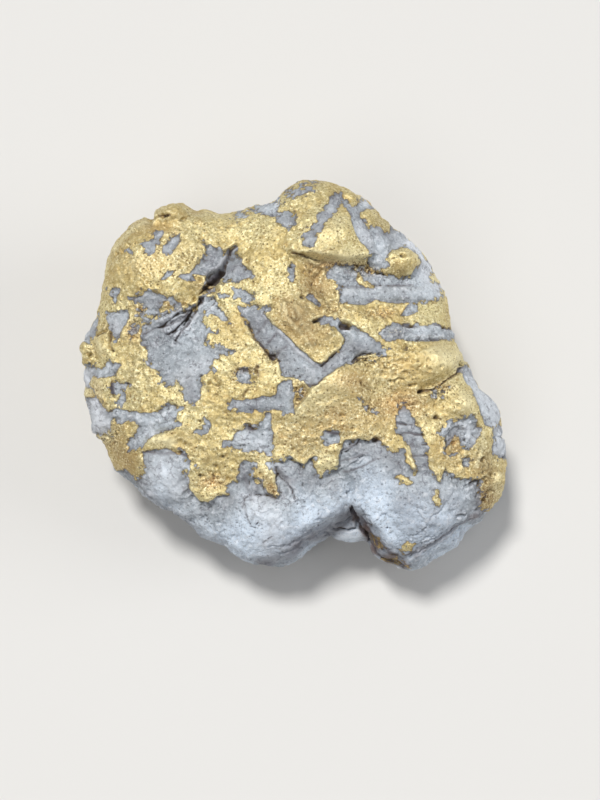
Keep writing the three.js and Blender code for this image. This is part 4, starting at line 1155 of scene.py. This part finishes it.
def relief_on_face(skin, in_quartz, pale):
    """Height, in mm, of the fine relief all over and of the marks that the eye sees."""
    broad = spread(skin.spots, MOUNDS)
    broad = broad + ledges_on_face(skin.spots) + rods_on_face(skin.spots)
    vary = np.clip(0.85 + 1.2 * skin.lumps, 0.35, 1.4)
    cuts = np.maximum(cuts_on_face(skin.spots, vary), holes_on_face(skin.spots))
    crease = ridge(skin.knobs + 0.4 * skin.bumps, 0.1) * np.clip(0.5 + 2 * skin.swell, 0, 1)
    fine = ON_QUARTZ.bumps * skin.bumps + ON_QUARTZ.grain * skin.grain
    fine = fine * (1 - LOWER_WORN * pale * skin.seen)
    knobs = (ON_QUARTZ.knobs + LOWER_KNOBS * pale) * skin.knobs
    rough = knobs + ON_QUARTZ.lumps * skin.lumps + fine - CREASE * crease
    rough = in_quartz * rough * (1 - CALMED * skin.calm)
    worn = ON_GOLD.knobs * skin.knobs + ON_GOLD.lumps * skin.lumps
    worn = (1 - in_quartz) * (worn + ON_GOLD.bumps * skin.bumps + ON_GOLD.grain * skin.grain)
    return ROLL * skin.other_swell + rough + worn + skin.shaped * broad - skin.seen * cuts


def relief_behind(skin, in_quartz):
    """(height in mm, how much of a seam there is) of the lumps, dents, folds and layers behind."""
    broad_lumps, folds, _ = wander(skin.points, *BROAD).T
    heave = wander(skin.points, *HEAVE)[:, 0]
    uneven = np.clip(0.5 + 2 * skin.other_swell, 0, 1)
    dents = np.clip(wander(skin.points, *DENT)[:, 0] - 0.25, 0, 1)
    dents *= np.clip(0.5 + 2 * skin.swell, 0, 1)
    layers = skin.points @ np.array(to_eye) / LAYER
    layers += 1.2 * wander(skin.points, *LAYER_BEND)[:, 0] + 0.3 * skin.lumps
    seams = ridge(layers % 1 - 0.5, 0.16) * np.clip(0.6 + 2 * skin.other_swell, 0, 1) * in_quartz
    height = (1 - skin.shaped) * (BEHIND.lumps * broad_lumps + BEHIND.heave * heave)
    sunk = BEHIND.dents * dents + BEHIND.folds * ridge(folds, 0.08) * uneven + BEHIND.seams * seams
    return height - skin.behind * sunk, seams


def carve(stone):
    """Shapes the stone's skin, and leaves on it the numbers that its finish reads."""
    skin = Skin(stone)
    quartz, height, crumbly = lay_out(skin)
    in_quartz = smooth_step(quartz, *INTO_QUARTZ)
    lower_end = depth_inside(skin.edge_spots, LOWER_QUARTZ.outline) * skin.seen
    lower_end += (LOWER_END - skin.points[:, 1]) * skin.behind
    pale = smooth_step(lower_end, *PALE)

    lip = LIP * np.exp(-((quartz - LIP_PLACE) / LIP_WIDTH) ** 2)
    tossed = crumbly * (0.5 * skin.crumbs - 0.35)
    back_height, seams = relief_behind(skin, in_quartz)
    height = height + lip + tossed + relief_on_face(skin, in_quartz, pale) + back_height
    low = 1 - smooth_step(skin.points[:, 2], *NEAR_FLOOR)
    height = height * (1 - low) + np.minimum(height * LOW_CUT, 0) * low
    move_skin(stone, "raised", height, HIGHEST)
    move_skin(stone, "cut_back", height, -DEEPEST)

    mark(stone, "gold_mm", -quartz)
    mark(stone, "feather", np.clip(skin.feather + crumbly, 0.1, 1.8))
    mark(stone, "crumbly", crumbly)
    mark(stone, "hollow", neighbour_average(stone, height, HOLLOW_ROUNDS) - height)
    mark(stone, "broad_hollow", neighbour_average(stone, height, BROAD_HOLLOW_ROUNDS) - height)
    mark(stone, "pale", pale)
    darkening, stains, _ = wander(skin.points, *GRIME).T
    # painted shade from the strokes; behind, random dull patches with darker layer seams
    painted_shade_and_dull = brushed(skin.stroke_spots, SHADE_AND_DULL_STROKES) * skin.brushable * (1 + 0.5 * skin.lumps)
    dull_behind = skin.behind * np.clip(1.6 * darkening + 0.8 * skin.lumps + 0.9 * seams, 0, 1.2)
    mark(stone, "painted_shade_and_dull", np.maximum(painted_shade_and_dull, dull_behind))
    # painted highlights
    mark(stone, "painted_highlight", brushed(skin.stroke_spots, PAINTED_HIGHLIGHTS) * skin.brushable)
    # brown stains, and painted brown shade on slopes and hollows turned from the light
    stain_and_shade = spread(skin.spots, STAINS_AND_SHADE) * skin.seen
    stain_behind = skin.behind * np.clip(1.6 * stains + 0.7 * seams, 0, 0.8)
    mark(stone, "stain_and_shade", np.maximum(stain_and_shade, stain_behind))


def settle(stone):
    """Presses whatever reaches under the floor flat on it."""
    choose(stone, positions(stone)[:, 2] < 0)
    bpy.ops.transform.resize(value=(1, 1, 0), center_override=(0, 0, 0))
    bpy.ops.object.mode_set(mode="OBJECT")


# ------------------------------------------------------------------ finishes
class Nodes:
    """A shader tree with a short way to add a node and wire its inputs."""

    def __init__(self, tree):
        self.tree = tree

    def add(self, kind, settings=None, **inputs):
        made = self.tree.nodes.new(kind)
        for name, value in (settings or {}).items():
            setattr(made, name, value)
        for name, value in inputs.items():
            self.feed(made.inputs[name.replace("_", " ")], value)
        return made

    def feed(self, socket, value):
        if isinstance(value, bpy.types.NodeSocket):
            self.tree.links.new(value, socket)
        else:
            socket.default_value = value

    def math(self, operation, first, second=0.0):
        made = self.tree.nodes.new("ShaderNodeMath")
        made.operation = operation
        self.feed(made.inputs[0], first)
        self.feed(made.inputs[1], second)
        return made.outputs[0]

    def share(self, value, low, high):
        """0 where value is at low, 1 where it is at high, smoothly between."""
        made = self.add("ShaderNodeMapRange", {"interpolation_type": "SMOOTHSTEP"})
        self.feed(made.inputs["Value"], value)
        self.feed(made.inputs["From Min"], low)
        self.feed(made.inputs["From Max"], high)
        return made.outputs["Result"]

    def blend(self, share, first, second):
        made = self.add("ShaderNodeMix", {"data_type": "RGBA"})
        self.feed(made.inputs["Factor"], share)
        self.feed(made.inputs[6], first)
        self.feed(made.inputs[7], second)
        return made.outputs[2]

    def blend_number(self, share, first, second):
        made = self.add("ShaderNodeMix", {"data_type": "FLOAT"})
        self.feed(made.inputs["Factor"], share)
        self.feed(made.inputs[2], first)
        self.feed(made.inputs[3], second)
        return made.outputs[0]


def group(name, takes, gives):
    """A shader node group with named number inputs and outputs, and its two end nodes."""
    tree = bpy.data.node_groups.new(name, "ShaderNodeTree")
    for label, kind, start in takes:
        socket = tree.interface.new_socket(label, in_out="INPUT", socket_type=kind)
        if start is not None:
            socket.default_value = start
    for label, kind in gives:
        tree.interface.new_socket(label, in_out="OUTPUT", socket_type=kind)
    nodes = Nodes(tree)
    return tree, nodes, nodes.add("NodeGroupInput"), nodes.add("NodeGroupOutput")


def pitted_grain():
    """Fine grain with pin-prick pits: Height in mm, and Pits, which is 1 in a pit."""
    tree, nodes, takes, gives = group(
        "pitted_grain",
        [("Place", "NodeSocketVector", None), ("Grain per metre", "NodeSocketFloat", 2500.0),
         ("Pits per metre", "NodeSocketFloat", 900.0), ("Pit size", "NodeSocketFloat", 0.3)],
        [("Height", "NodeSocketFloat"), ("Pits", "NodeSocketFloat")],
    )
    fine = nodes.add("ShaderNodeTexNoise", Vector=takes.outputs["Place"], Detail=4.0, Roughness=0.62)
    nodes.feed(fine.inputs["Scale"], takes.outputs["Grain per metre"])
    cells = nodes.add("ShaderNodeTexVoronoi", Vector=takes.outputs["Place"])
    nodes.feed(cells.inputs["Scale"], takes.outputs["Pits per metre"])
    chance = nodes.add("ShaderNodeSeparateColor", Color=cells.outputs["Color"])
    reach = nodes.math("MULTIPLY", takes.outputs["Pit size"], chance.outputs[0])
    pits = nodes.share(cells.outputs["Distance"], reach, 0.0)
    grain = nodes.math("SUBTRACT", fine.outputs["Fac"], 0.5)
    nodes.feed(gives.inputs["Height"], nodes.math("SUBTRACT", grain, pits))
    nodes.feed(gives.inputs["Pits"], pits)
    return tree


def fine_cracks():
    """Thin broken cracks between uneven cells: Cracks is 1 in a crack."""
    tree, nodes, takes, gives = group(
        "fine_cracks",
        [("Place", "NodeSocketVector", None), ("Cells per metre", "NodeSocketFloat", 330.0),
         ("Crack width", "NodeSocketFloat", 0.09)],
        [("Cracks", "NodeSocketFloat")],
    )
    bend = nodes.add("ShaderNodeTexNoise", Vector=takes.outputs["Place"], Scale=350.0, Detail=4.0)
    bent = nodes.add("ShaderNodeVectorMath", {"operation": "MULTIPLY_ADD"})
    nodes.feed(bent.inputs[0], bend.outputs["Color"])
    nodes.feed(bent.inputs[1], (0.006, 0.006, 0.006))
    nodes.feed(bent.inputs[2], takes.outputs["Place"])
    cells = nodes.add("ShaderNodeTexVoronoi", {"feature": "DISTANCE_TO_EDGE"}, Vector=bent.outputs[0])
    nodes.feed(cells.inputs["Scale"], takes.outputs["Cells per metre"])
    lines = nodes.share(cells.outputs["Distance"], takes.outputs["Crack width"], 0.0)
    breaks = nodes.add("ShaderNodeTexNoise", Vector=takes.outputs["Place"], Scale=240.0, Detail=2.0)
    broken = nodes.math("MULTIPLY", lines, nodes.share(breaks.outputs["Fac"], 0.46, 0.6))
    nodes.feed(gives.inputs["Cracks"], broken)
    return tree


def dirt_and_shade_in_hollows():
    """Darkening in hollows, patchy: partly dirt settled there and partly painted shade. Its output is 1
    where it is darkest.
    """
    tree, nodes, takes, gives = group(
        "dirt_and_shade_in_hollows",
        [("Place", "NodeSocketVector", None), ("Hollow", "NodeSocketFloat", 0.0),
         ("From", "NodeSocketFloat", 0.05), ("To", "NodeSocketFloat", 0.5)],
        [("Darkening", "NodeSocketFloat")],
    )
    patches = nodes.add("ShaderNodeTexNoise", Vector=takes.outputs["Place"], Scale=420.0, Detail=3.0)
    push = nodes.math("MULTIPLY", nodes.math("SUBTRACT", patches.outputs["Fac"], 0.5), 0.25)
    hollow = nodes.math("ADD", takes.outputs["Hollow"], push)
    nodes.feed(gives.inputs["Darkening"], nodes.share(hollow, takes.outputs["From"], takes.outputs["To"]))
    return tree


def place_group(nodes, tree, **inputs):
    """Adds a group to a shader tree and wires its named inputs."""
    made = nodes.add("ShaderNodeGroup", {"node_tree": tree})
    for name, value in inputs.items():
        nodes.feed(made.inputs[name.replace("_", " ")], value)
    return made


GOLD_METALLIC = 0.6  # it is worn and dusty, so it doesn't shine like clean metal


def colour(red, green, blue):
    """A colour given as 0-255 screen values."""
    return tuple(((level / 255 + 0.055) / 1.055) ** 2.4 for level in (red, green, blue)) + (1.0,)


def gold_and_quartz_finish():
    """One finish for both, which reads where the gold is from the numbers left on the stone."""
    material = bpy.data.materials.new("gold_and_quartz")
    material.use_nodes = True
    nodes = Nodes(material.node_tree)
    surface = material.node_tree.nodes["Principled BSDF"]
    place = nodes.add("ShaderNodeTexCoord").outputs["Object"]

    def marked(name):
        return nodes.add("ShaderNodeAttribute", {"attribute_name": name}).outputs["Fac"]

    def noise_at(scale, detail, roughness):
        settings = {"Scale": scale, "Detail": detail, "Roughness": roughness}
        return nodes.add("ShaderNodeTexNoise", Vector=place, **settings).outputs["Fac"]

    def grain_at(per_metre, pits_per_metre, pit_size):
        return place_group(
            nodes, grain, Place=place, Grain_per_metre=per_metre,
            Pits_per_metre=pits_per_metre, Pit_size=pit_size,
        )

    def darkening_at(hollow, start, end):
        made = place_group(nodes, darkening, Place=place, Hollow=marked(hollow), From=start, To=end)
        return made.outputs["Darkening"]

    # where the gold ends, ragged to a fraction of a millimetre
    ragged = noise_at(1000.0, 5.0, 0.75)
    push = nodes.math("MULTIPLY", nodes.math("SUBTRACT", ragged, 0.5), 3.2)
    push = nodes.math("MULTIPLY", push, marked("feather"))
    edge = nodes.math("ADD", marked("gold_mm"), push)
    gold = nodes.share(edge, -0.05, 0.05)
    # dark ragged lines along the gold's edge and inside the quartz's edge: partly dirt in the seam,
    # partly painted shade where the quartz lies lower than the gold
    gold_rim = nodes.math("MULTIPLY", nodes.share(edge, 0.4, 0.0), nodes.share(ragged, 0.35, 0.6))
    quartz_rim = nodes.math("MULTIPLY", nodes.share(edge, -1.1, 0.0), nodes.share(ragged, 0.62, 0.36))

    # the shared effects, and noise for tones from broad to fine
    grain = pitted_grain()
    darkening = dirt_and_shade_in_hollows()
    gold_grain = grain_at(2300.0, 1150.0, 0.42)
    quartz_grain = grain_at(1900.0, 900.0, 0.4)
    cracks = place_group(nodes, fine_cracks(), Place=place).outputs["Cracks"]
    # darkening in small hollows, partly dirt and partly painted shade; and broad painted shade, like
    # ambient shadow, in the larger hollows
    near_dirt_and_shade = darkening_at("hollow", 0.16, 0.6)
    broad_painted_shade = darkening_at("broad_hollow", 0.5, 2.0)
    polish = nodes.share(marked("hollow"), -0.03, -0.25)
    drift = noise_at(110.0, 5.0, 0.6)
    mottle = noise_at(520.0, 4.0, 0.65)
    speck = noise_at(1900.0, 3.0, 0.7)

    def tint(share, amount, under, over):
        return nodes.blend(nodes.math("MULTIPLY", share, amount), under, over)

    # gold: warm and matt, speckled with painted glints, paler where it is rubbed and where highlights are
    # painted, brown in its pits and stains and where brown shade is painted, darker where shade is
    # painted
    speckled = nodes.math("MULTIPLY", nodes.share(drift, 0.3, 0.6), nodes.share(marked("painted_shade_and_dull"), 1.2, 0.2))
    speckled = nodes.blend_number(speckled, 0.35, 0.95)
    tone = nodes.blend(nodes.share(drift, 0.35, 0.65), colour(205, 185, 127), colour(219, 206, 154))
    tone = tint(nodes.share(mottle, 0.52, 0.7), 0.6, tone, colour(246, 232, 182))
    tone = tint(nodes.share(mottle, 0.46, 0.32), 0.55, tone, colour(180, 150, 92))
    # brown stains and painted brown shade
    tone = tint(marked("stain_and_shade"), 0.8, tone, colour(196, 148, 92))
    # painted shade: the gold goes darker and browner where shade falls, partly its own dull tone
    tone = tint(marked("painted_shade_and_dull"), 0.8, tone, colour(146, 124, 84))
    # painted highlight on the gold
    tone = tint(marked("painted_highlight"), 0.7, tone, colour(250, 240, 196))
    # painted glints: tiny pale specks on the gold
    tone = tint(nodes.share(speck, 0.54, 0.66), speckled, tone, colour(255, 248, 210))
    tone = tint(nodes.share(speck, 0.46, 0.33), speckled, tone, colour(116, 86, 46))
    tone = tint(polish, 0.4, tone, colour(252, 240, 190))
    # dark line at the gold's edge: partly dirt, partly painted shade
    tone = tint(gold_rim, 0.8, tone, colour(112, 84, 46))
    gold_colour = tint(gold_grain.outputs["Pits"], 0.7, tone, colour(104, 80, 46))

    # quartz: milky, blue grey in the windows and paler and bluer at the lower end
    drifting = nodes.share(drift, 0.38, 0.64)
    window_colour = nodes.blend(drifting, colour(150, 157, 163), colour(184, 192, 199))
    end_colour = nodes.blend(drifting, colour(180, 192, 206), colour(211, 225, 240))
    tone = nodes.blend(marked("pale"), window_colour, end_colour)
    tone = tint(nodes.share(mottle, 0.52, 0.7), 0.6, tone, colour(226, 231, 238))
    tone = tint(nodes.share(mottle, 0.46, 0.3), 0.6, tone, colour(136, 141, 147))
    tone = tint(nodes.share(speck, 0.47, 0.32), 0.6, tone, colour(114, 118, 124))
    tone = tint(nodes.share(speck, 0.54, 0.68), 0.5, tone, colour(226, 231, 237))
    tone = tint(polish, 0.5, tone, colour(234, 238, 244))
    # painted shade: the quartz goes darker where shade falls, partly its own dull tone
    tone = tint(marked("painted_shade_and_dull"), 0.75, tone, colour(106, 103, 108))
    # painted highlight on the quartz
    tone = tint(marked("painted_highlight"), 0.75, tone, colour(230, 234, 240))
    crack_share = nodes.blend_number(marked("pale"), 0.6, 0.12)
    tone = tint(cracks, crack_share, tone, colour(96, 92, 100))
    # brown stains and painted shade on the quartz
    tone = tint(nodes.share(marked("stain_and_shade"), 0.4, 1.0), 0.75, tone, colour(112, 90, 80))
    # darker quartz along its edge with the gold: partly dirt, partly painted shade
    tone = tint(quartz_rim, 0.75, tone, colour(90, 84, 86))
    quartz_colour = tint(quartz_grain.outputs["Pits"], 0.45, tone, colour(92, 90, 96))

    # both: crumbled places with painted glints, painted dark shadow in the seams, and darkening in
    # hollows that is partly dirt and partly painted shade
    both = nodes.blend(gold, quartz_colour, gold_colour)
    both = tint(marked("crumbly"), nodes.share(speck, 0.5, 0.4), both, colour(84, 64, 46))
    # painted glints among the crumbs
    both = tint(marked("crumbly"), nodes.share(speck, 0.56, 0.66), both, colour(246, 234, 192))
    # painted dark shadow in the seams, where the shade mark rises above 1
    seam = nodes.math("MULTIPLY", nodes.share(marked("painted_shade_and_dull"), 1.0, 1.8), nodes.share(speck, 0.32, 0.5))
    both = tint(seam, 0.85, both, nodes.blend(gold, colour(76, 72, 80), colour(74, 56, 38)))
    # darkening in the hollows: dirt and painted shade near by, broad painted shade further out
    both = tint(near_dirt_and_shade, 0.8, both, colour(78, 64, 50))
    both = tint(broad_painted_shade, 0.6, both, colour(74, 64, 58))
    nodes.feed(surface.inputs["Base Color"], both)

    clean = nodes.math("SUBTRACT", 1.0, near_dirt_and_shade)
    clean_gold = nodes.math("MULTIPLY", gold, clean)
    nodes.feed(surface.inputs["Metallic"], nodes.math("MULTIPLY", clean_gold, GOLD_METALLIC))
    gold_rough = nodes.blend_number(polish, 0.5, 0.38)
    nodes.feed(surface.inputs["Roughness"], nodes.blend_number(gold, 0.62, gold_rough))

    gold_height = nodes.math("MULTIPLY", gold_grain.outputs["Height"], 0.2)
    quartz_relief = nodes.blend_number(marked("pale"), 0.3, 0.22)
    quartz_height = nodes.math("MULTIPLY", quartz_grain.outputs["Height"], quartz_relief)
    skin = nodes.math("MULTIPLY", nodes.share(edge, -0.15, 0.1), 0.14)
    height = nodes.math("ADD", nodes.blend_number(gold, quartz_height, gold_height), skin)
    bump = nodes.add("ShaderNodeBump", Height=height, Strength=1.0, Distance=MM)
    nodes.feed(surface.inputs["Normal"], bump.outputs["Normal"])
    return material


def floor_finish():
    """Plain, pale and matt."""
    material = bpy.data.materials.new("floor")
    material.use_nodes = True
    surface = material.node_tree.nodes["Principled BSDF"]
    surface.inputs["Base Color"].default_value = (0.66, 0.65, 0.63, 1)
    surface.inputs["Roughness"].default_value = 0.85
    return material


# ------------------------------------------------------------------ putting it together
def build_stone():
    """Shapes, thins, settles and finishes the one visible piece."""
    stone = blank()
    carve(stone)
    choose(stone, facing(stone) < HIDDEN)
    bpy.ops.mesh.decimate(ratio=HIDDEN_KEPT)
    bpy.ops.object.mode_set(mode="OBJECT")
    add_and_apply(stone, "TRIANGULATE")
    add_and_apply(stone, "DECIMATE", ratio=min(1, MOST_FACES / len(stone.data.polygons)))
    settle(stone)
    stone.data.materials.clear()
    stone.data.materials.append(gold_and_quartz_finish())
    bpy.ops.object.select_all(action="DESELECT")
    stone.select_set(True)
    bpy.context.view_layer.objects.active = stone
    bpy.ops.object.shade_smooth()
    return stone


FLOOR_SIZE = 30.0  # metres
ROOM_TINT = (0.93, 0.95, 1, 1)
ROOM_STRENGTH = 0.24


def make_floor():
    bpy.ops.mesh.primitive_plane_add(size=FLOOR_SIZE)
    floor = bpy.context.object
    floor.name = "floor"
    floor.data.materials.append(floor_finish())


def make_light(name, place, softness, strength, tint):
    """A soft light from this side, the same all over the floor."""
    bpy.ops.object.light_add(type="SUN", location=place)
    light = bpy.context.object
    light.name = name
    light.data.angle = softness
    light.data.energy = strength
    light.data.color = tint
    light.rotation_euler = (-Vector(place)).to_track_quat("-Z", "Y").to_euler()


def make_lights():
    make_light("key", (-0.2, 0.28, 0.88), math.radians(13), 2.65, (1, 0.99, 0.97))
    make_light("side", (0.8, 0.0, 0.36), math.radians(32), 0.9, (0.95, 0.97, 1))
    make_light("fill", (-0.3, -0.5, 0.8), math.radians(34), 0.58, (1, 0.99, 0.97))
    world = bpy.data.worlds.new("room")
    world.use_nodes = True
    background = world.node_tree.nodes["Background"]
    background.inputs["Color"].default_value = ROOM_TINT
    background.inputs["Strength"].default_value = ROOM_STRENGTH
    bpy.context.scene.world = world


bpy.context.scene.view_settings.view_transform = "Standard"
stone = build_stone()
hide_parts("nugget")
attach(stone, "root")
make_floor()
make_lights()
